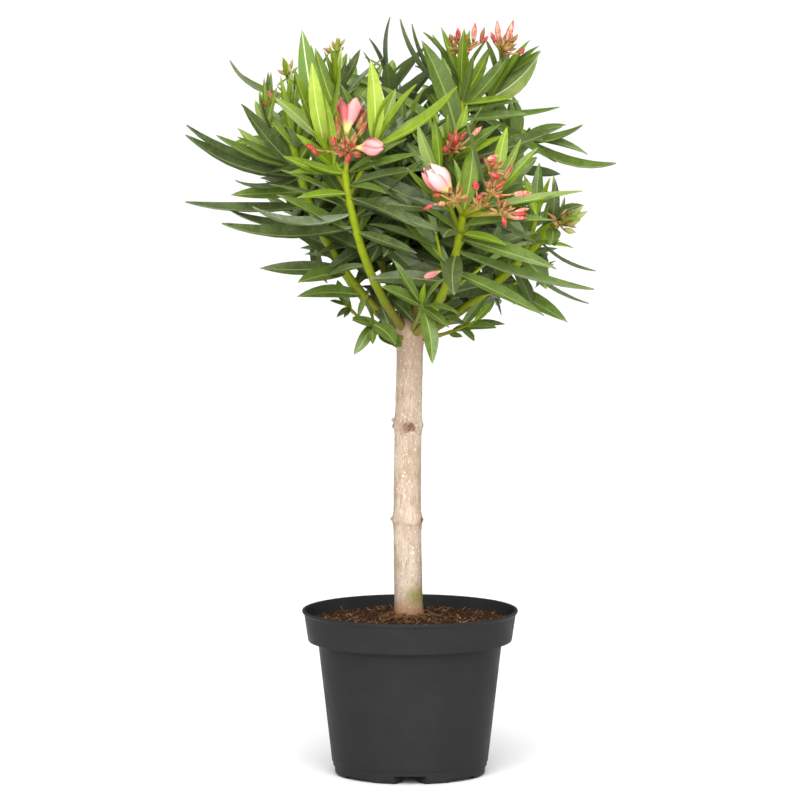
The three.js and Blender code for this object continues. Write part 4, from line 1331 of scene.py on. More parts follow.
class Foliage:
    """Grows the leaves and stems: the source's own whorls first, then finer twigs of the same rule."""

    def __init__(self):
        """Lays out the limbs and grows each in turn."""
        self.limbs = [dict(zip(LIMB_FIELDS, limb)) for limb in LIMBS]
        self.low = np.array(CAD_BOX[0]) / MM + ROOM["box"]
        self.high = np.array(CAD_BOX[1]) / MM - ROOM["box"]
        for limb in self.limbs:
            limb["arc"] = limb_arc(limb)
            limb["side_arcs"] = [side_arc(limb["arc"], at, tip) for at, tip in limb["sides"]]
            limb["listed"] = self.listed(limb)
        tracks = [[limb["arc"].point(i / TRACK) for i in range(TRACK + 1)] for limb in self.limbs]
        self.starts = np.array([p for track in tracks for p in track[:-1]])
        self.ends = np.array([p for track in tracks for p in track[1:]])
        self.owner = np.repeat(np.arange(len(self.limbs)), TRACK)
        self.leaves, self.stems = [], []
        for number, limb in enumerate(self.limbs):
            self.grow_limb(number, limb)
            self.leaves += limb["listed"]

    def listed(self, limb):
        """The limb's leaves of the list of those that stand out."""
        leaves = []
        for i, arc in enumerate([limb["arc"], *limb["side_arcs"]]):
            shoot = limb["name"] + (f"/{i}" if i else "")
            leaves += [shown_leaf(arc.point(row[0]), row) for row in SHOWN.get(shoot, ())]
        return leaves

    def gives_way(self, number, root, heading):
        """True for a leaf of the rule that would stand before the listed ones, or beside one of them."""
        listed = self.limbs[number]["listed"]
        if not listed:
            return False
        if root.y < LIGHT_BORDER and heading.y < (-0.3 if self.limbs[number]["split"] else 0.3):
            return True
        return any(
            (leaf["root"] - root).length < NEAR["distance"] and leaf["heading"].angle(heading) < NEAR["angle"]
            for leaf in listed
        )

    def fits(self, number, points):
        """True where a leaf's points are inside the plant's box and clear of trunk and other limbs."""
        spots = np.array(points)
        if (spots < self.low).any() or (spots > self.high).any() or under_bowl(spots) or beyond_dome(spots):
            return False
        low = spots[:, 2] < TRUNK_TOP + ROOM["top"]
        if low.any():
            centre = np.array([trunk_centre(z)[:2] for z in spots[:, 2]])
            aside = np.hypot(*(spots[:, :2] - centre).T)
            if (low & (aside < HEAD_RADIUS + ROOM["trunk"])).any():
                return False
        others = self.owner != number
        a, b = self.starts[others][None], self.ends[others][None]
        along = b - a
        share = np.clip(((spots[:, None] - a) * along).sum(2) / (along * along).sum(2), 0, 1)
        gap = np.linalg.norm(spots[:, None] - a - along * share[..., None], axis=2)
        return gap.min() > ROOM["limbs"]

    def add_leaf(self, number, root, axis, bearing, drawn, age, tone=None):
        """Adds one leaf, tilted or shortened until it fits, or leaves it out."""
        for shorter, (tilt, swing) in itertools.product(SHORTENINGS, SHIFTS):
            length = drawn["length"] * shorter
            lean = drawn["lean"] + math.radians(tilt)
            heading, face = leaf_frame(root, axis, bearing + math.radians(swing), lean, drawn["twist"])
            width = length * LEAF["width_share"] + LEAF["width_least"]
            if length <= LEAST_LEAF or self.gives_way(number, root, heading):
                continue
            bend = drawn["bend"]
            if self.fits(number, leaf_points(root, heading, face, length, width, bend)):
                self.leaves.append(leaf_item(root, heading, face, length, width, bend, age, tone))
                return

    def whorls(self, number, arc, start, count, turn, size, young, random, age_top=1.0):
        """Whorls of three leaves along a shoot, each turned by half the angle between two leaves."""
        for i in range(count):
            up = (i / (count - 1)) ** LEAF["crowding"] if count > 1 else 1.0
            place = lerp(start, LEAF["last"], up)
            share = lerp(young, 1, up)
            for k in range(3):
                drawn = leaf_draw(share, size, random)
                bearing = math.radians(turn + 60 * i + 120 * k) + drawn["swing"]
                self.add_leaf(number, arc.point(place), arc.tangent(place), bearing, drawn, share * age_top)

    def grow_limb(self, number, limb):
        """A limb's whorls and stem, then those of its side shoots, then its finer twigs."""
        random, arc, size = seeded(SEED + number), limb["arc"], limb["size"]
        chance = seeded(SEEDS["twigs"] + number)
        self.whorls(number, arc, limb["leafy"], limb["whorls"], limb["turn"], size, limb["young"], random)
        radius = bough_radius if limb["split"] else lambda share: lerp(*TWIG_RADIUS, share)
        woody = limb["split"] == 0
        self.add_stem(arc, limb["split"] * 0.97, radius, limb["leafy"], limb["whorls"], woody)
        for i, side in enumerate(limb["side_arcs"]):
            turn = limb["turn"] + SIDE["turn"] * (i + 1)
            small = size * SIDE["size"]
            self.whorls(number, side, SIDE["leafy"], SIDE["whorls"], turn, small, SIDE["young"], random)
            self.add_stem(side, 0.0, lambda s: lerp(*SIDE_RADIUS, s), SIDE["leafy"], SIDE["whorls"])
        self.grow_twigs(number, limb, chance)

    def grow_twigs(self, number, limb, chance):
        """Finer twigs in the axils of a limb, each a short copy of the shoot with two or three whorls."""
        arc, upper = limb["arc"], limb["split"] > 0
        count = TWIG["bough" if upper else "shoot"]
        for i in range(count):
            at = lerp(*TWIG["places"], (i + 0.5) / count) + TWIG["stray"] * (chance() - 0.5)
            root, axis = arc.point(at), arc.tangent(at)
            bearing = math.radians(limb["turn"] + TWIG["spiral"] * i + TWIG["swing"] * chance())
            lean = math.radians(lerp(*TWIG["lean"], chance()))
            heading, _ = leaf_frame(root, axis, bearing, lean, 0)
            reach = lerp(*TWIG["reach"], chance()) * (1 if upper else TWIG["low"])
            tip = root + heading * reach + Vector((0, 0, reach * TWIG["rise"]))
            middle = root + heading * reach * 0.5
            if self.gives_way(number, root, heading) or not self.fits(number, [tip, middle]):
                continue
            twig = side_arc(arc, at, tip, TWIG["arch"])
            whorls = 3 if chance() > 0.4 else 2
            self.add_stem(twig, 0.0, lambda s: lerp(*TWIG["radius"], s), TWIG["nodes"], whorls)
            turn, size = limb["turn"] + TWIG["turn"] * i, limb["size"] * TWIG["size"]
            self.whorls(number, twig, TWIG["leafy"], whorls, turn, size, TWIG["young"], chance, TWIG["age"])

    def add_stem(self, arc, start, radius, leafy, whorls, woody=False):
        """A stem's line from a share of its arc to the tip, with a slight swelling at each whorl."""
        steps = [i / max(whorls - 1, 1) for i in range(whorls)]
        nodes = [lerp(leafy, LEAF["last"], step ** LEAF["crowding"]) for step in steps]
        length = arc.lengths[-1]
        count = max(int(length * (1 - start) / STEM_STEP), 4)
        points, radii, ages = [], [], []
        for i in range(count + 1):
            share = lerp(start, 1.0, i / count)
            swell = sum(0.5 * bump((share - node) * length / 3.0) for node in nodes)
            points.append(arc.point(share))
            radii.append(radius(share) + swell)
            ages.append(share * (WOODY_AGE if woody else 1))
        self.stems.append({"points": points, "radii": radii, "ages": ages})


@functools.cache
def foliage():
    """The plant's foliage, grown once for all the pieces that need it."""
    return Foliage()


def leaf_draw(share, size, random):
    """The draw of one leaf, in the source's order."""

    def spread(span):
        return math.radians(span * (random() - 0.5))

    lean = math.radians(lerp(*LEAF["lean"], share ** LEAF["lean_power"])) + spread(LEAF["lean_vary"])
    length = LEAF["length"] * size * (1 - LEAF["shorten"] * share**2) * lerp(*LEAF["vary"], random())
    bend = math.radians(lerp(*LEAF["bend"], share)) + spread(LEAF["bend_vary"])
    twist = spread(LEAF["twist_vary"])
    swing = spread(LEAF["swing_vary"])
    return {"lean": lean, "length": length, "bend": bend, "twist": twist, "swing": swing}


BEND_RANGE = (-60.0, 64.0)
BEND_STEPS = 18
# Each bend comes in three ways: how far the leaf is drawn sideways, as a share of its width, and its twist.
LEAF_WAYS = ((-0.16, 16.0), (0.14, -13.0), (0.0, 4.0))


def leaf_item(root, heading, face, length, width, bend, age, tone=None):
    """What the spray tree needs to know of one leaf."""
    side = heading.cross(face)
    turn = Matrix((side, heading, face)).transposed().to_quaternion()
    step = (math.degrees(bend) - BEND_RANGE[0]) / (BEND_RANGE[1] - BEND_RANGE[0]) * (BEND_STEPS - 1)
    form = min(max(round(step), 0), BEND_STEPS - 1) * len(LEAF_WAYS)
    form += int(abs(root.x + 3 * root.z)) % len(LEAF_WAYS)
    return {
        "root": root, "heading": heading, "turn": tuple(turn), "size": (width, length, length), "form": form,
        "age": age, "tone": tone,
    }


# Share of the leaf's length, and half width there, of an oleander's lance-shaped leaf with its short stalk.
LEAF_OUTLINE = (
    (0.0, 0.07), (0.04, 0.1), (0.1, 0.22), (0.2, 0.365), (0.33, 0.465), (0.47, 0.5),
    (0.61, 0.465), (0.74, 0.375), (0.85, 0.255), (0.94, 0.12), (1.0, 0.004),
)
# Shares of a leaf's size: the half width of its rib at foot and tip, the thickness of its blade and of the
# rib's keel, the lift of its edges, and how far a twist slants it.
LEAF_RIB = (0.055, 0.014)
LEAF_SKIN = 0.0028
LEAF_KEEL = 0.008
LEAF_FOLD = 0.07
LEAF_SLIMNESS = 0.15
# Each panel between two corners of a leaf's section: its skin, and whether its diagonal runs the other way,
# so that the upper and lower skins bend along the same lines and never cross.
LEAF_PANELS = ((0, True), (1, False), (0, False), (2, True), (1, True), (2, False))


def leaf_form(name, bend, draw, twist):
    """A leaf of unit length and width: folded along its rib, arched, drawn sideways and twisted."""
    vertices, faces, skins = [], [], []
    for s, half in LEAF_OUTLINE:
        turn = bend * s
        ahead, down = arched(bend, s)
        middle = Vector((draw * math.sin(math.pi * s), ahead, -down))
        normal = Vector((0, math.sin(turn), math.cos(turn)))
        rib = min(half * 0.6, lerp(*LEAF_RIB, s))
        slant = math.tan(math.radians(twist) * s) * LEAF_SLIMNESS
        under = LEAF_SKIN + LEAF_KEEL
        section = ((-half, LEAF_FOLD * half), (-rib, 0), (rib, 0), (half, LEAF_FOLD * half),
                   (rib, -under), (-rib, -under))
        vertices += [middle + Vector((x, 0, 0)) + normal * (up + slant * x) for x, up in section]
    sides, rows = len(LEAF_PANELS), len(LEAF_OUTLINE)
    for i in range(rows - 1):
        for k, (skin, turned) in enumerate(LEAF_PANELS):
            a, b = i * sides + k, i * sides + (k + 1) % sides
            faces.append((b, b + sides, a + sides, a) if turned else (a, b, b + sides, a + sides))
            skins.append(skin)
    last = (rows - 1) * sides
    faces += [tuple(range(sides))[::-1], tuple(range(last, last + sides))]
    skins += [2, 2]
    margins = [{i * sides + k, (i + 1) * sides + k} for i in range(rows - 1) for k in (0, 3)]
    return form_mesh(name, vertices, faces, skins, margins)


def form_mesh(name, vertices, faces, skins, creases=()):
    """A form for the spray: a smooth mesh whose faces hold the number of their skin."""
    mesh = bpy.data.meshes.new(name)
    mesh.from_pydata(vertices, [], faces)
    mesh.polygons.foreach_set("use_smooth", [True] * len(faces))
    store(mesh, "skin", "INT", skins, domain="FACE")
    sharp = mesh.attributes.new("sharp_edge", "BOOLEAN", "EDGE")
    for edge in mesh.edges:
        sharp.data[edge.index].value = set(edge.vertices) in creases
    mesh.update()
    return mesh


def bud_radius(s):
    """A bud's radius at a share of its height: a narrow foot, a swelling, and a point."""
    if s <= BUD_FOOT:
        return 0.16 + 0.14 * s / BUD_FOOT
    swell = (s - BUD_FOOT) / (1 - BUD_FOOT)
    radius = 0.3 + 0.2 * math.sin(math.pi * min(swell * 0.95, 1)) ** 0.8
    if swell < BUD_WAIST:
        return radius
    return radius * max(1 - ((swell - BUD_WAIST) / (1 - BUD_WAIST)) ** 1.6, 0.02)


def bud_form(name, furrow):
    """A bud of unit length and width: stalked calyx, five sepals and petals rolled into a spiral point."""
    sides, rings = BUD_SIDES, BUD_RINGS
    vertices, faces, skins = [], [], []
    for i in range(rings + 1):
        s = i / rings
        deep = furrow * min(max(s - 0.15, 0) * 4, 1)
        for a in (2 * math.pi * k / sides for k in range(sides)):
            reach = bud_radius(s) * (1 + deep * math.cos(5 * (a - BUD_TWIST * s)))
            vertices.append((reach * math.cos(a), s, reach * math.sin(a)))
    for i, k in itertools.product(range(rings), range(sides)):
        a, b = i * sides + k, i * sides + (k + 1) % sides
        faces.append((a, a + sides, b + sides, b))
        s = (i + 0.5) / rings
        edge = math.cos(5 * (2 * math.pi * (k + 0.5) / sides - BUD_TWIST * s)) > 0.93
        skins.append(2 if s < 0.14 else 1 if s < 0.44 and not edge else 0)
    last = rings * sides
    faces += [tuple(range(sides)), tuple(range(last, last + sides))[::-1]]
    skins += [2, 0]
    for k in range(5):
        start = len(vertices)
        for a, s, r in SEPAL:
            turn = 2 * math.pi * k / 5 + a
            vertices.append((r * math.cos(turn), s, r * math.sin(turn)))
        faces += [tuple(start + n for n in corners) for corners in SEPAL_FACES]
        skins += [2] * len(SEPAL_FACES)
    return form_mesh(name, vertices, faces, skins)


def bud_item(base, tip, radius):
    """What the spray tree needs to know of one bud."""
    base, tip = Vector(base), Vector(tip)
    along = (tip - base).normalized()
    side = along.orthogonal().normalized()
    turn = Matrix((side, along, side.cross(along))).transposed().to_quaternion()
    length = (tip - base).length
    form = int(abs(base.x * 3 + base.z)) % 2
    return {"root": base, "turn": tuple(turn), "size": (2 * radius, length, 2 * radius), "form": form}


def leaf_forms():
    """A leaf of every bend, in each of its ways."""
    bends = [math.radians(lerp(*BEND_RANGE, i / (BEND_STEPS - 1))) for i in range(BEND_STEPS)]
    return [leaf_form(f"leaf_form_{i}_{k}", bend, *way) for i, bend in enumerate(bends)
            for k, way in enumerate(LEAF_WAYS)]


def corolla(flower, whorl):
    """Five overlapping petals with pointed tips on a tube, and how high up and how rosy each point is.

    The flower gives the base, the mouth and the radius. The whorl gives the profile as shares of height and
    radius, half a petal's spread and its twist in degrees, the bearing of the first petal, how far a petal's
    edge falls below its tip, the whorl's own size, and how rosy each petal is.
    """
    base, mouth = Vector(flower["base"]), Vector(flower["mouth"])
    axis = (mouth - base).normalized()
    right = (Vector((1, 0, 0)) - axis * axis.x).normalized()
    away = axis.cross(right)
    length, radius = (mouth - base).length * whorl["size"], flower["radius"] * whorl["size"]
    profile, columns = whorl["profile"], PETAL_COLUMNS
    rows, sheet = len(profile), len(profile) * columns
    vertices, faces, ups, blushes = [], [], [], []
    for petal, tone in enumerate(whorl["tones"]):
        start = len(vertices)
        for thickness in (0.0, PETAL_THICKNESS):
            for i, (height, wide) in enumerate(profile):
                up = i / (rows - 1)
                for k in range(columns):
                    u = 2 * k / (columns - 1) - 1
                    spread = whorl["spread"] * (1 - whorl["point"] * up**4)
                    turn = 360 / PETALS * petal + u * spread + whorl["twist"] * up
                    angle = math.radians(whorl["first"] + turn)
                    fall = whorl["point"] * up**3 * abs(u) ** 1.6
                    ruffle = PETAL_RUFFLE * radius * math.sin(5 * u + 2 * petal) * up**3
                    reach = radius * wide * (1 + PETAL_OVERLAP * u) + ruffle - thickness
                    out = right * math.cos(angle) + away * math.sin(angle)
                    vertices.append(base + axis * (length * height * (1 - fall)) + out * max(reach, 0.2))
                    ups.append(height)
                    rosy = BLUSH["edge"] * abs(u) ** 3 * up + BLUSH["foot"] * (1 - up) - BLUSH["less"]
                    blushes.append(min(max(tone + rosy, 0), 1))
        for i in range(rows - 1):
            for k in range(columns - 1):
                a = start + i * columns + k
                b = a + sheet
                faces.append((a, a + 1, a + columns + 1, a + columns))
                faces.append((b, b + columns, b + columns + 1, b + 1))
        rim = [start + k for k in range(columns)]
        rim += [start + i * columns + columns - 1 for i in range(1, rows)]
        rim += [start + (rows - 1) * columns + k for k in range(columns - 2, -1, -1)]
        rim += [start + i * columns for i in range(rows - 2, 0, -1)]
        faces += [(b, a, a + sheet, b + sheet) for a, b in zip(rim, rim[1:] + rim[:1])]
    return vertices, faces, ups, blushes


# ---------------------------------------------------------------- settings


def colour_setting(name, description, code):
    return bpy.props.FloatVectorProperty(
        name=name, description=description, subtype="COLOR", size=3, min=0, max=1, default=linear(code)
    )


def amount(name, description, default, kind=bpy.props.FloatProperty, least=0, **limits):
    return kind(name=name, description=description, default=default, min=least, **limits)


class OleanderPotSettings(bpy.types.PropertyGroup):
    sides: amount("Sides", "Facets round the pot's wall", 144, bpy.props.IntProperty, 48, max=256)


class OleanderLeafSettings(bpy.types.PropertyGroup):
    length: amount("Leaf length", "Factor on the length of every leaf", 1.0, least=0.5, max=1.2)
    width: amount("Leaf width", "Factor on the width of every leaf", 1.0, least=0.5, max=1.6)


class OleanderStageSettings(bpy.types.PropertyGroup):
    floor: colour_setting("Floor", "Colour of the studio floor", "#FDFDFD")
    key: amount("Key light", "Power of the large soft light", 16.0, unit="POWER")
    front: amount("Front bank", "Power of the wide bank behind the camera", 190.0, unit="POWER")
    panel: amount("Sky panel", "Strength of the wide even light from the front", 2.6)
    ceiling: amount("Ceiling panel", "Strength of the wide even light from straight above", 0.85)
    rim: amount("Rim panel", "Strength of the wide even light from behind", 0.25)
    air: amount("Air", "Strength of the light from all round", 0.18)


# ---------------------------------------------------------------- operators


def wall(height, inset=0):
    """The radius of the pot's wall under the band."""
    return lerp(*BODY_RADIUS, (height - SEAM) / (BAND_FOOT - SEAM)) - inset


def band(height, inset=0):
    """The radius of the pot's rim band."""
    return lerp(*BAND_RADIUS, (height - BAND_FOOT) / (BAND_TOP - BAND_FOOT)) - inset


class OLEANDER_OT_pot(bpy.types.Operator):
    """Moulds the nursery pot: tapered wall, deep rim band, rolled lip and notched standing ring"""

    bl_idname = "oleander.pot"
    bl_label = "Pot"

    def execute(self, context):
        sides = context.scene.oleander_pot.sides
        profile = self.profile()
        vertices = [point for radius, height in profile for point in circle(radius, height, sides)]
        middle = len(vertices)
        faces = grid_faces(len(profile), sides) + end_fans(len(profile), sides, middle, middle + 1)
        vertices += [(0, 0, 0), (0, 0, FLOOR)]
        pot = mesh_piece("pot_shell", vertices, faces, [nursery_polypropylene()])
        for cutter in self.cutters():
            cut = pot.modifiers.new("notch", "BOOLEAN")
            cut.operation, cut.solver, cut.object = "DIFFERENCE", "EXACT", cutter
            graph = bpy.context.evaluated_depsgraph_get()
            mesh = bpy.data.meshes.new_from_object(pot.evaluated_get(graph), depsgraph=graph)
            pot.modifiers.clear()
            pot.data = mesh
            bpy.data.objects.remove(cutter)
        pot.data.materials.clear()
        pot.data.materials.append(bpy.data.materials["moulded black polypropylene"])
        pot.data.polygons.foreach_set("material_index", [0] * len(pot.data.polygons))
        pot.data.polygons.foreach_set("use_smooth", [True] * len(pot.data.polygons))
        pot.data.set_sharp_from_angle(angle=math.radians(32))
        keep(pot, "pot_plastic", "pot")
        return {"FINISHED"}

    def profile(self):
        """The wall's section from the middle of the underside, round the lip, to the middle of the floor."""
        # The pad in the middle of the underside, then the standing ring.
        points = [(PAD_RADIUS - 0.6, 0), (PAD_RADIUS, 0.3), (PAD_RADIUS + 2.8, UNDERSIDE),
                  (RING_RADIUS[0] - 2.8, UNDERSIDE), (RING_RADIUS[0], 0.4), (RING_RADIUS[0] + 0.6, 0),
                  (RING_RADIUS[1] - 0.8, 0), (RING_RADIUS[1], 0.25), (RING_RADIUS[1] + 1.4, 1.0),
                  (RING_RADIUS[1] + 2.4, 2.4), (RING_RADIUS[1] + 2.8, 4.0)]
        # The seam over the ring, then the tapered wall up to the band.
        points += [(BODY_RADIUS[0] - 0.85, SEAM - 0.9), (BODY_RADIUS[0] - 0.15, SEAM - 0.3)]
        points += [(BODY_RADIUS[0], SEAM)]
        points += [(wall(height), height) for height in np.linspace(SEAM + 4, BAND_FOOT - 3, 12)]
        points += [(BODY_RADIUS[1] + 0.2, BAND_FOOT - 0.8), (BODY_RADIUS[1] + 1.0, BAND_FOOT)]
        # The rim band with its rounded foot.
        points += [(BAND_RADIUS[0] - 0.9, BAND_FOOT), (BAND_RADIUS[0] - 0.15, BAND_FOOT + 0.3),
                   (BAND_RADIUS[0] + 0.1, BAND_FOOT + 1.1)]
        points += [(band(height), height) for height in np.linspace(BAND_FOOT + 4, BAND_TOP - 1.2, 5)]
        # The rolled lip, outside and in.
        points += [(BAND_RADIUS[1] + 0.15, BAND_TOP - 0.2), (BAND_RADIUS[1] + 0.7, BAND_TOP + 0.5),
                   (LIP_RADIUS - 0.35, BAND_TOP + 1.2), (LIP_RADIUS, BAND_TOP + 1.9),
                   (LIP_RADIUS, POT_HEIGHT - 0.9), (LIP_RADIUS - 0.3, POT_HEIGHT - 0.25),
                   (LIP_RADIUS - 0.9, POT_HEIGHT), (BAND_RADIUS[1] + 0.1, POT_HEIGHT),
                   (BAND_RADIUS[1] - 0.7, POT_HEIGHT - 0.3), (BAND_RADIUS[1] - 1.2, POT_HEIGHT - 1.2),
                   (band(BAND_TOP, WALL), BAND_TOP)]
        # Down the inside of the band and the wall to the floor.
        points += [(band(BAND_FOOT, WALL), BAND_FOOT + 2 * WALL),
                   (BAND_RADIUS[0] - 2 * WALL, BAND_FOOT + WALL),
                   (BODY_RADIUS[1] - WALL, BAND_FOOT + WALL), (wall(FLOOR + 2.8, WALL), FLOOR + 2.8),
                   (wall(FLOOR, WALL + 2.8), FLOOR), (PAD_RADIUS, FLOOR)]
        return points

    def cutters(self):
        """The notches, channels, recesses and drain holes of the standing ring."""
        made = []
        notch = {RING_RADIUS[0] + 1: 7.5, RING_RADIUS[1] + 5: 18.5}
        channel = {PAD_RADIUS + 2.8: 7.6, RING_RADIUS[0] + 3: 7.6}
        recess = {52.0: 17.0, 92.0: 17.0}
        for i in range(4):
            angle = math.pi / 2 * i
            made.append(self.block("notch", notch, 8.0, angle, 1.4))
            made.append(self.block("channel", channel, 8.0, angle, 1.4))
            made.append(self.block("recess", recess, 2.8, angle + math.pi / 4, 0.5))
            middle = (DRAIN["out"] * math.cos(angle), DRAIN["out"] * math.sin(angle))
            rings = [circle(DRAIN["radius"], height, DRAIN["sides"], middle) for height in (-3, FLOOR + 3.4)]
            made.append(mesh_piece("drain", sum(rings, []), prism_faces(DRAIN["sides"]), []))
        return made

    def block(self, name, widths, height, angle, round_by):
        """A radial cutter with rounded upper corners. widths gives its half width at two radii."""
        vertices = []
        for out, half in widths.items():
            outline = [(-half, -3.0), (half, -3.0), (half, height - round_by)]
            outline += [(half - round_by * 0.3, height - round_by * 0.3), (half - round_by, height)]
            outline += [(-x, z) for x, z in reversed(outline[2:])]
            for across, z in outline:
                x = out * math.cos(angle) - across * math.sin(angle)
                vertices.append((x, out * math.sin(angle) + across * math.cos(angle), z))
        return mesh_piece(name, vertices, prism_faces(len(vertices) // 2), [])


class OLEANDER_OT_soil(bpy.types.Operator):
    """Fills the pot with crumbly peat, with crumbs, bark chips and pale straw lying on it"""

    bl_idname = "oleander.soil"
    bl_label = "Potting soil"

    def execute(self, context):
        rings, sides = SOIL_RINGS, SOIL_SIDES
        edge = band(SOIL_TOP, WALL) - GAP
        vertices = []
        for i in range(rings):
            radius = lerp(TRUNK_FLARE - 6, edge, i / (rings - 1))
            level = circle(radius, 0, sides)
            vertices += [(x, y, self.height(x, y, radius, edge)) for x, y, _ in level]
        faces = grid_faces(rings, sides)
        outer, base = (rings - 1) * sides, rings * sides
        vertices += circle(edge - 4.0, SOIL_TOP - SOIL_DEPTH, sides)
        faces += grid_faces(2, sides, outer)
        vertices += [(0, 0, SOIL_TOP - SOIL_DEPTH), (0, 0, SOIL_TOP - 3)]
        for k in range(sides):
            after = (k + 1) % sides
            faces += [(base + sides, base + k, base + after), (base + sides + 1, k, after)]
        faces = [tuple(reversed(f)) for f in faces]
        ground = mesh_piece("soil_surface", vertices, faces, [damp_peat("damp peat", "#1C110A", "#452D1B")])
        tree = scatter_tree()
        bed = ground.copy()
        bed.data = ground.data.copy()
        keep(ground, "potting_soil", "soil")
        kinds = (
            ("soil_crumbs", ("dark peat crumbs", "#21130B", "#422A18"), 150000.0, (0.5, 1.5), self.crumbs()),
            ("soil_chips", ("composted bark chips", "#3E2815", "#77563A"), 30000.0, (0.5, 1.4), self.chips()),
            ("soil_straw", ("pale straw", "#7C6240", "#B49A70"), 9000.0, (0.6, 1.5), self.straws()),
        )
        for number, (name, look, density, (least, most), meshes) in enumerate(kinds):
            forms = forms_collection(name + "_forms", meshes)
            carrier = link(bed.copy())
            carrier.data = self.top_only(bed.data)
            piece = run_tree(name, carrier, tree, {
                "Forms": forms, "Density": density, "Smallest": least, "Largest": most,
                "Seed": SEEDS["scatter"] + number, "Crumb": damp_peat(*look),
            })
            drop_collection(forms)
            keep(piece, "potting_soil", "soil")
        bpy.data.objects.remove(bed)
        fibres = run_tree("soil_roots", lines_carrier("root_lines", self.roots()), stem_tree(), {
            "Sides": 5, "Bark": damp_peat("brown feeder roots", "#46291A", "#80603F"),
        })
        keep(fibres, "potting_soil", "soil")
        return {"FINISHED"}

    def roots(self):
        """Fine tan roots that creep over the soil round the stem."""
        random, steps = seeded(SEEDS["roots"]), ROOTS["steps"]
        shares = [i / steps for i in range(steps + 1)]
        lines = []
        for _ in range(ROOTS["count"]):
            angle = 2 * math.pi * random()
            swing = lerp(-ROOTS["swing"], ROOTS["swing"], random())
            start = lerp(TRUNK_FLARE - 2.5, TRUNK_FLARE + 5, random())
            reach = lerp(*ROOTS["reach"], random() ** 1.6)
            lift, thick = lerp(*ROOTS["lift"], random()), lerp(*ROOTS["thick"], random())
            points = []
            for share in shares:
                radius, bearing = start + reach * share, angle + swing * share
                height = self.mound(radius, 0) + lift * math.sin(math.pi * (0.25 + 0.75 * share))
                points.append(Vector((radius * math.cos(bearing), radius * math.sin(bearing), height)))
            radii = [thick * (1 - 0.6 * share) for share in shares]
            lines.append({"points": points, "radii": radii, "ages": [0.0] * len(shares)})
        return lines

    def mound(self, radius, slope):
        """The soil's height, drawn up round the stem and sloping down towards the wall."""
        collar = SOIL_COLLAR["height"] * bump((radius - SOIL_COLLAR["radius"]) / SOIL_COLLAR["reach"])
        return SOIL_TOP + SOIL_MOUND * (1 - slope) - SOIL_COLLAR["sink"] + collar

    def height(self, x, y, radius, edge):
        """A low mound with clods 15 mm across and crumbs 3 mm across, falling away at the wall."""
        clods = 1.3 * noise.noise(Vector((x * 0.06, y * 0.06, 3.1)))
        crumbs = 0.9 * noise.noise(Vector((x * 0.3, y * 0.3, 9.2)))
        fall = 2.4 * max(0.0, (radius - edge + 9) / 9) ** 2
        return self.mound(radius, radius / edge) + clods + crumbs - fall

    def top_only(self, mesh):
        """The part of the soil's surface that crumbs lie on."""
        inner, outer = (TRUNK_FLARE + 1.5) * MM, (BAND_RADIUS[0] - 3) * MM
        faces = [
            tuple(face.vertices) for face in mesh.polygons
            if face.normal.z > 0.3 and inner < math.hypot(*face.center[:2]) < outer
        ]
        flat = bpy.data.meshes.new("soil_bed")
        flat.from_pydata([tuple(v.co) for v in mesh.vertices], [], faces)
        return flat

    def crumbs(self):
        """Five lumps of peat, each an uneven twelve-cornered grain about 2 mm across."""
        return [form_piece(f"crumb_{number}", *rough_ball(number, 1.1)) for number in range(5)]

    def chips(self):
        """Four flat chips of bark, 4 to 8 mm long."""
        made = []
        for number in range(4):
            vertices, faces = rough_ball(20 + number, 1.0)
            stretch = Vector((2.2 + 0.5 * number, 1.1, 0.5))
            made.append(form_piece(f"chip_{number}", [v * stretch for v in vertices], faces))
        return made

    def straws(self):
        """Four curled straws, 4 to 11 mm long, with three sides each."""
        made = []
        for number in range(4):
            length, vertices = 4.5 + 2.2 * number, []
            for i in range(6):
                s = i / 5
                x, y = (s - 0.5) * length, 0.9 * math.sin(s * 3 + number)
                z = 0.4 + 0.5 * math.sin(s * 5 + number)
                vertices += [(x, y + 0.22 * math.cos(a), z + 0.22 * math.sin(a)) for a in (0.5, 2.6, 4.7)]
            made.append(form_piece(f"straw_{number}", vertices, grid_faces(6, 3) + [(2, 1, 0), (15, 16, 17)]))
        return made


def rough_ball(seed, radius):
    """A lumpy grain of twelve corners and twenty faces."""
    golden = (1 + math.sqrt(5)) / 2
    corners = [Vector(c).normalized() for c in (
        (-1, golden, 0), (1, golden, 0), (-1, -golden, 0), (1, -golden, 0),
        (0, -1, golden), (0, 1, golden), (0, -1, -golden), (0, 1, -golden),
        (golden, 0, -1), (golden, 0, 1), (-golden, 0, -1), (-golden, 0, 1),
    )]
    random = seeded(seed + SEEDS["grains"])
    vertices = [c * radius * lerp(0.65, 1.25, random()) for c in corners]
    faces = [
        (0, 11, 5), (0, 5, 1), (0, 1, 7), (0, 7, 10), (0, 10, 11), (1, 5, 9), (5, 11, 4), (11, 10, 2),
        (10, 7, 6), (7, 1, 8), (3, 9, 4), (3, 4, 2), (3, 2, 6), (3, 6, 8), (3, 8, 9), (4, 9, 5), (2, 4, 11),
        (6, 2, 10), (8, 6, 7), (9, 8, 1),
    ]
    return vertices, faces


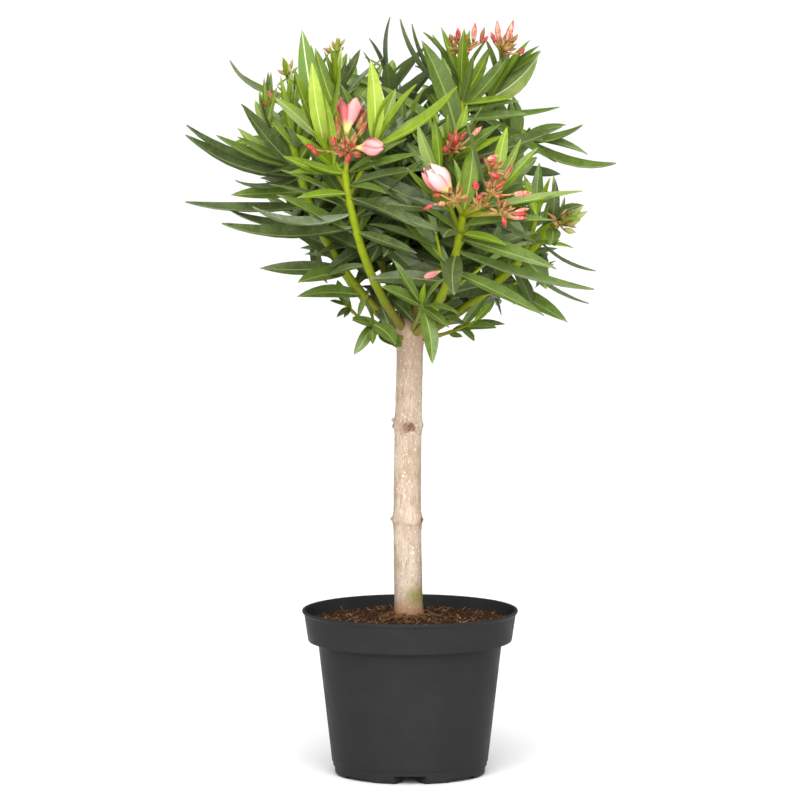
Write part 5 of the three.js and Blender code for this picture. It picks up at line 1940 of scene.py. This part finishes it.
class OLEANDER_OT_trunk(bpy.types.Operator):
    """Grows the bare stem with cracked, warty bark, two swollen knots and the scars of cut shoots"""

    bl_idname = "oleander.trunk"
    bl_label = "Trunk"

    def execute(self, context):
        rings, sides = BARK_RINGS, BARK_SIDES
        heights = np.linspace(trunk_foot(), TRUNK_TOP, rings)
        angles = np.linspace(0, 2 * math.pi, sides, endpoint=False)
        relief, shade = self.bark(heights, angles)
        self.warts(relief, shade, heights, angles)
        self.knots(relief, shade, heights, angles)
        self.scars(relief, shade, heights, angles)
        vertices = []
        for i, z in enumerate(heights):
            centre, radius = trunk_centre(z), trunk_radius(z) - BARK_ROOM
            if z > HEAD_HEIGHT:
                dome = (z - HEAD_HEIGHT) / (TRUNK_TOP - HEAD_HEIGHT + 1)
                radius *= math.sqrt(max(HEAD_LEAST, 1 - dome**2))
            for k, a in enumerate(angles):
                reach = radius + relief[i, k]
                vertices.append((centre.x + reach * math.cos(a), centre.y + reach * math.sin(a), z))
        middle = len(vertices)
        faces = grid_faces(rings, sides) + end_fans(rings, sides, middle, middle + 1)
        vertices += [trunk_centre(trunk_foot()), trunk_centre(TRUNK_TOP)]
        trunk = mesh_piece("trunk_bark", vertices, faces, [oleander_bark()])
        for name, field in (("shade", shade), ("algae", self.algae(relief, heights, angles))):
            values = np.append(np.clip(field, 0, 1).ravel(), (0, 0))
            store(trunk.data, name, "FLOAT", values.astype(np.float32))
        keep(trunk, "bark", "trunk")
        return {"FINISHED"}

    def algae(self, relief, heights, angles):
        """How green each point is: a film on one side above the soil, thinner in the hollows."""
        level = ALGAE["most"] * np.exp(-(((heights - ALGAE["height"]) / ALGAE["reach"]) ** 2))[:, None]
        film = level * np.clip(np.cos(angles - ALGAE["bearing"]), 0, 1)[None, :] ** 2
        return film * np.clip(ALGAE["even"] + relief, 0, 1)

    def bark(self, heights, angles):
        """The relief and darkness of upright cracks 2 mm apart, finer ones between, and level wrinkles."""
        relief, shade = np.zeros((2, len(heights), len(angles)))
        for i, z in enumerate(heights):
            for k, a in enumerate(angles):
                x, y = BARK_ROUND * math.cos(a), BARK_ROUND * math.sin(a)
                crack = abs(noise.noise(Vector((x * 0.55, y * 0.55, z * 0.06))))
                fine = noise.noise(Vector((x * 1.3, y * 1.3, z * 0.32 + 40)))
                wrinkle = noise.noise(Vector((x * 0.12, y * 0.12, z * 0.7 + 90)))
                relief[i, k] = 0.42 * crack + 0.14 * fine + 0.1 * wrinkle
                shade[i, k] = max(0.0, 0.13 - crack) * 1.5 + max(0.0, -fine - 0.3) * 0.5
        return relief, shade

    def warts(self, relief, shade, heights, angles):
        """Pale corky warts a millimetre or two across."""
        random = seeded(SEEDS["warts"])
        for _ in range(WARTS["count"]):
            angle, z = random() * 2 * math.pi, lerp(trunk_foot(), WARTS["top"], random())
            size = lerp(*WARTS["size"], random())
            spot = self.spot(heights, angles, angle, z, WARTS["wide"] * size, WARTS["tall"] * size)
            near = np.exp(-(spot**2))
            relief += WARTS["height"] * size * near
            shade -= WARTS["pale"] * near

    def knots(self, relief, shade, heights, angles):
        """Soft swellings where whorls of old shoots stood, each with a faint groove under it."""
        for z, strength in OLD_WHORLS:
            for k, a in enumerate(angles):
                wander = z + 2.4 * noise.noise(Vector((math.cos(a) * 1.3, math.sin(a) * 1.3, z)))
                groove = np.exp(-(((heights - wander + 3.6) / 1.2) ** 2))
                relief[:, k] += strength * (0.6 * np.exp(-(((heights - wander) / 3.0) ** 2)) - 0.3 * groove)
                shade[:, k] += 0.16 * strength * groove

    def scars(self, relief, shade, heights, angles):
        """The healed scar in front, the stubs at the left and the sunken bud scars of the lower knot."""
        torn = np.array([[noise.noise(Vector((a * 5, z * 0.45, 6.0))) for a in angles] for z in heights])
        for angle, z, wide, tall in SCARS:
            far = self.spot(heights, angles, angle, z, wide, tall) * (1 + 0.9 * torn)
            relief += 1.0 * np.exp(-(((far - 0.8) / 0.34) ** 2)) - 0.8 * np.exp(-((far / 0.5) ** 2))
            rings = 0.5 + 0.5 * np.sin(8 * far + 6 * torn)
            shade += np.exp(-((far / 1.1) ** 4)) * (0.6 + 0.4 * rings)
        for angle, z, wide, tall, out in STUBS:
            far = self.spot(heights, angles, angle, z, wide, tall)
            relief += out * np.exp(-(far**4))
            shade += 0.35 * np.exp(-(((far - 1.1) / 0.3) ** 2))

    def spot(self, heights, angles, angle, z, wide, tall):
        """How far each point of the bark is from a spot, as a share of the spot's own half sizes."""
        turn = (angles[None, :] - angle + math.pi) % (2 * math.pi) - math.pi
        return np.sqrt((turn * BARK_ROUND / wide) ** 2 + ((heights[:, None] - z) / tall) ** 2)


class OLEANDER_OT_boughs(bpy.types.Operator):
    """Grows the boughs out of the trunk's head, with tan to green bark"""

    bl_idname = "oleander.boughs"
    bl_label = "Boughs"

    def execute(self, context):
        sides, rings = BOUGH["sides"], BOUGH["rings"]
        vertices, faces, ages = [], [], []
        for limb in foliage().limbs:
            if limb["split"] == 0:
                continue
            arc, start = limb["arc"], len(vertices)
            for i in range(rings):
                share = limb["split"] * BOUGH["past"] * i / (rings - 1)
                centre, tangent = arc.point(share), arc.tangent(share)
                across = Vector((0, 0, 1)).cross(tangent).normalized()
                along = tangent.cross(across)
                swell = BOUGH["swell"] * bump(share * arc.lengths[-1] / BOUGH["reach"])
                radius = bough_radius(share) + swell - BOUGH["set"]
                for k in range(sides):
                    a = 2 * math.pi * k / sides
                    out = across * math.cos(a) + along * math.sin(a)
                    grain = noise.noise(centre * 0.12 + out * 1.4) * BOUGH["grain"]
                    vertices.append(centre + out * (radius + grain))
                    ages.append(share * BOUGH["age"])
            faces += grid_faces(rings, sides, start)
            faces += [tuple(range(start, start + sides))[::-1],
                      tuple(range(start + (rings - 1) * sides, start + rings * sides))]
        boughs = mesh_piece("bough_bark", vertices, faces, [green_bark()])
        store(boughs.data, "age", "FLOAT", ages)
        keep(boughs, "green_stem", *BOUGHS)
        return {"FINISHED"}


class OLEANDER_OT_stems(bpy.types.Operator):
    """Sweeps the green leafy stems that grow on from the boughs"""

    bl_idname = "oleander.stems"
    bl_label = "Leafy stems"

    def execute(self, context):
        carrier = lines_carrier("stem_lines", foliage().stems)
        bark = bpy.data.materials["young green bark"]
        stems = run_tree("leafy_stems", carrier, stem_tree(), {"Sides": 10, "Bark": bark})
        keep(stems, "green_stem", *MASSES)
        return {"FINISHED"}


class OLEANDER_OT_leaves(bpy.types.Operator):
    """Sets the whorls of narrow leaves on their stems, each in the colouring of its age"""

    bl_idname = "oleander.leaves"
    bl_label = "Leaves"

    def execute(self, context):
        settings = context.scene.oleander_leaf
        random = seeded(SEEDS["ages"])
        dealt = {tone: [] for tone in LEAF_TONES}
        for leaf in foliage().leaves:
            age = leaf["age"] + AGE_STRAY * (random() - 0.5)
            by_age = next(tone for tone, limit in AGES.items() if age < limit)
            dealt[leaf["tone"] or by_age].append(leaf)
        forms = forms_collection("leaf_forms", leaf_forms())
        tree = spray_tree()
        for tone, leaves in dealt.items():
            upper, rib, lower = leaf_skins(tone)
            piece = run_tree(f"leaves_{tone}_growth", points_carrier(f"{tone}_points", leaves), tree, {
                "Forms": forms, "Length factor": settings.length, "Width factor": settings.width,
                "Upper skin": upper, "Rib": rib, "Lower skin": lower,
            })
            keep(piece, "foliage", *MASSES)
        drop_collection(forms)
        return {"FINISHED"}


def shoot_arc(shoot):
    """The curve of a limb, or of one of its side shoots."""
    name, _, number = shoot.partition("/")
    limb = next(limb for limb in foliage().limbs if limb["name"] == name)
    return limb["side_arcs"][int(number) - 1] if number else limb["arc"]


def stalk(start, end, kind, sag=0.0, ages=TAN):
    """A short arched stalk of a kind between two points, as a line for the stem tree."""
    start, end = Vector(start), Vector(end)
    arc = Arc(start, start.lerp(end, 0.5) + Vector((0, 0, sag)), end)
    shares = [i / STALK_STEPS for i in range(STALK_STEPS + 1)]
    radii, shades = ([lerp(*span, share) for share in shares] for span in (STALKS[kind], ages))
    return {"points": [arc.point(share) for share in shares], "radii": radii, "ages": shades}


class OLEANDER_OT_buds(bpy.types.Operator):
    """Sets the flower heads at the shoots' tips: stalks, red and pink buds, and small spent calyces"""

    bl_idname = "oleander.buds"
    bl_label = "Buds and stalks"

    def execute(self, context):
        stalks, dealt = [], {kind: [] for kind in BUD_TONES}
        random = seeded(SEEDS["calyces"])
        for shoot, fork, buds in CYMES:
            arc = shoot_arc(shoot)
            stalks.append(stalk(arc.point(0.97), fork, "head", 0.0, GREEN_TO_TAN))
            for base, end, radius, kind in buds:
                stalks.append(stalk(fork, base, "bud", -1.5))
                dealt[kind].append(bud_item(base, end, radius))
            young = all(kind == "tan" for *_, kind in buds)
            kinds = CALYX_KINDS["young" if young else "grown"]
            self.crowd(Vector(fork), arc.tangent(0.99), len(buds), kinds, random, stalks, dealt)
        for flower in FLOWERS.values():
            stalks.append(stalk(flower["fork"], flower["base"], "flower", -1.0))
        listed_heads = {shoot.partition("/")[0] for shoot, _, _ in CYMES}
        for number, limb in enumerate(foliage().limbs):
            if limb["buds"] and limb["name"] not in listed_heads:
                self.grow_head(limb, seeded(SEEDS["heads"] + number), stalks, dealt)
        forms = forms_collection("bud_forms", [bud_form(*form) for form in BUD_FURROWS.items()])
        tree = spray_tree()
        for kind, buds in dealt.items():
            tip, body, calyx = BUD_TONES[kind]
            piece = run_tree(f"buds_{kind}", points_carrier(f"{kind}_points", buds), tree, {
                "Forms": forms,
                "Upper skin": bud_skin(f"{kind} bud petals", tip, body, 0.42),
                "Rib": bud_skin(f"{kind} bud foot", body, tip, 0.5),
                "Lower skin": bud_skin(f"{kind} bud sepals", calyx, body, 0.6),
            })
            keep(piece, "foliage", *MASSES)
        drop_collection(forms)
        values = {"Sides": 7, "Bark": stalk_skin()}
        piece = run_tree("flower_stalks", lines_carrier("stalk_lines", stalks), stem_tree(), values)
        keep(piece, "foliage", *MASSES)
        return {"FINISHED"}

    def crowd(self, fork, axis, buds, kinds, random, stalks, dealt):
        """The small spent calyces round a fork with a number of buds, each on a short stalk."""
        for i in range(round(CALYX_RULE["each"] * buds)):
            lean = math.radians(lerp(*CALYX_RULE["lean"], random()))
            heading, _ = leaf_frame(fork, axis, BUD_RULE["spiral"] * i, lean, 0)
            base = fork + heading * lerp(*CALYX_RULE["off"], random())
            end = base + heading * lerp(*CALYX_RULE["length"], random())
            kind = kinds[int(len(kinds) * random())]
            stalks.append(stalk(fork, base, "calyx"))
            dealt[kind].append(bud_item(base, end, lerp(*CALYX_RULE["radius"], random())))

    def grow_head(self, limb, random, stalks, dealt):
        """A flower head by rule at the tip of a shoot that has none listed."""
        arc = limb["arc"]
        root, axis = arc.point(LEAF["last"]), arc.tangent(LEAF["last"])
        fork = root + axis * BUD_RULE["fork"]
        stalks.append(stalk(root, fork, "rule_head", 0.0, GREEN_TO_TAN))
        for i in range(limb["buds"]):
            lean = math.radians(lerp(*BUD_RULE["lean"], (i + 0.5) / limb["buds"]))
            heading, _ = leaf_frame(fork, axis, BUD_RULE["spiral"] * i, lean, 0)
            length = BUD_RULE["length"] * lerp(*BUD_RULE["vary"], random())
            base = fork + heading * lerp(*BUD_RULE["off"], random())
            kind = BUD_RULE["kinds"][int(random() * len(BUD_RULE["kinds"]))]
            stalks.append(stalk(fork, base, "rule_bud"))
            end = base + heading * length * BUD_RULE["closed"]
            dealt[kind].append(bud_item(base, end, BUD_RULE["radius"]))
        self.crowd(fork, axis, limb["buds"], CALYX_KINDS["grown"], random, stalks, dealt)


class OLEANDER_OT_blooms(bpy.types.Operator):
    """Opens the salmon funnel flower, the pale bloom beside it, the swollen bud and the late floret"""

    bl_idname = "oleander.blooms"
    bl_label = "Open flowers"

    def execute(self, context):
        satin = petal_satin()
        for name, flower in FLOWERS.items():
            vertices, faces, ups, blushes = [], [], [], []
            for whorl in WHORLS[name]:
                points, sheets, heights, tones = corolla(flower, whorl)
                faces += [tuple(len(vertices) + corner for corner in face) for face in sheets]
                vertices += points
                ups += heights
                blushes += tones
            piece = mesh_piece(name, vertices, faces, [satin])
            for attribute, values in (("up", ups), ("blush", blushes)):
                store(piece.data, attribute, "FLOAT", values)
            keep(piece, "foliage", *MASSES)
        return {"FINISHED"}


class OLEANDER_OT_stage(bpy.types.Operator):
    """Sets the pale floor, the soft studio lights and the camera"""

    bl_idname = "oleander.stage"
    bl_label = "Studio"

    def execute(self, context):
        settings = context.scene.oleander_stage
        paint = new_material("matt white studio paint", "#FDFDFD", 0.9, Specular_IOR_Level=0.0)
        paint.node_tree.nodes["Principled BSDF"].inputs["Base Color"].default_value = (*settings.floor, 1)
        sides = ((-1, -1), (1, -1), (1, 1), (-1, 1))
        corners = [(x * FLOOR_REACH, y * FLOOR_REACH, -FLOOR_DROP) for x, y in sides]
        mesh_piece("studio_floor", corners, [(0, 1, 2, 3)], [paint], smooth=False)
        world = context.scene.world or bpy.data.worlds.new("studio_air")
        context.scene.world = world
        world.use_nodes = True
        sky = world.node_tree.nodes["Background"]
        sky.inputs["Color"].default_value = (1, 1, 1, 1)
        sky.inputs["Strength"].default_value = settings.air
        for name, (way, spread, setting) in SUNS.items():
            sun = self.light(name, "SUN", way, getattr(settings, setting))
            sun.data.angle = math.radians(spread)
        for name, (place, size, setting, share) in LAMPS.items():
            way = Vector(LAMPS_LOOK_AT) - Vector(place)
            lamp = self.light(name, "AREA", way, getattr(settings, setting) * share)
            lamp.location = place
            lamp.data.shape = "RECTANGLE"
            lamp.data.size, lamp.data.size_y = size
        lens = bpy.data.cameras.new("camera")
        lens.lens, lens.sensor_width, lens.clip_end = CAMERA["lens"], CAMERA["sensor"], CAMERA["reach"]
        camera = link(bpy.data.objects.new("camera", lens))
        camera.location = Vector(CAMERA["place"]) * MM
        camera.rotation_euler = (math.radians(90 - CAMERA["tilt"]), 0, 0)
        context.scene.camera = camera
        context.scene.view_settings.view_transform = "Standard"
        return {"FINISHED"}


    def light(self, name, kind, way, power):
        """A light that shines one way."""
        data = bpy.data.lights.new(name, kind)
        data.energy = power
        light = link(bpy.data.objects.new(name, data))
        light.rotation_euler = Vector(way).to_track_quat("-Z", "Y").to_euler()
        return light


class OLEANDER_PT_panel(bpy.types.Panel):
    """Lists the plant's pieces and its settings"""

    bl_idname = "OLEANDER_PT_panel"
    bl_label = "Potted oleander"
    bl_space_type = "VIEW_3D"
    bl_region_type = "UI"
    bl_category = "Oleander"

    def draw(self, context):
        for name, group in GROUPS.items():
            for setting in group.__annotations__:
                self.layout.prop(getattr(context.scene, name), setting)
        for operator in PIECES:
            self.layout.operator(operator.bl_idname)


PIECES = (
    OLEANDER_OT_pot,
    OLEANDER_OT_soil,
    OLEANDER_OT_trunk,
    OLEANDER_OT_boughs,
    OLEANDER_OT_stems,
    OLEANDER_OT_leaves,
    OLEANDER_OT_buds,
    OLEANDER_OT_blooms,
    OLEANDER_OT_stage,
)
GROUPS = {
    "oleander_pot": OleanderPotSettings,
    "oleander_leaf": OleanderLeafSettings,
    "oleander_stage": OleanderStageSettings,
}


def register():
    for made in (*GROUPS.values(), *PIECES, OLEANDER_PT_panel):
        bpy.utils.register_class(made)
    for name, group in GROUPS.items():
        setattr(bpy.types.Scene, name, bpy.props.PointerProperty(type=group))


def unregister():
    for name in GROUPS:
        delattr(bpy.types.Scene, name)
    for made in reversed((*GROUPS.values(), *PIECES, OLEANDER_PT_panel)):
        bpy.utils.unregister_class(made)


def main():
    """Makes every piece by its operator."""
    register()
    for operator in PIECES:
        group, name = operator.bl_idname.split(".")
        getattr(getattr(bpy.ops, group), name)()


if __name__ == "__main__":
    main()
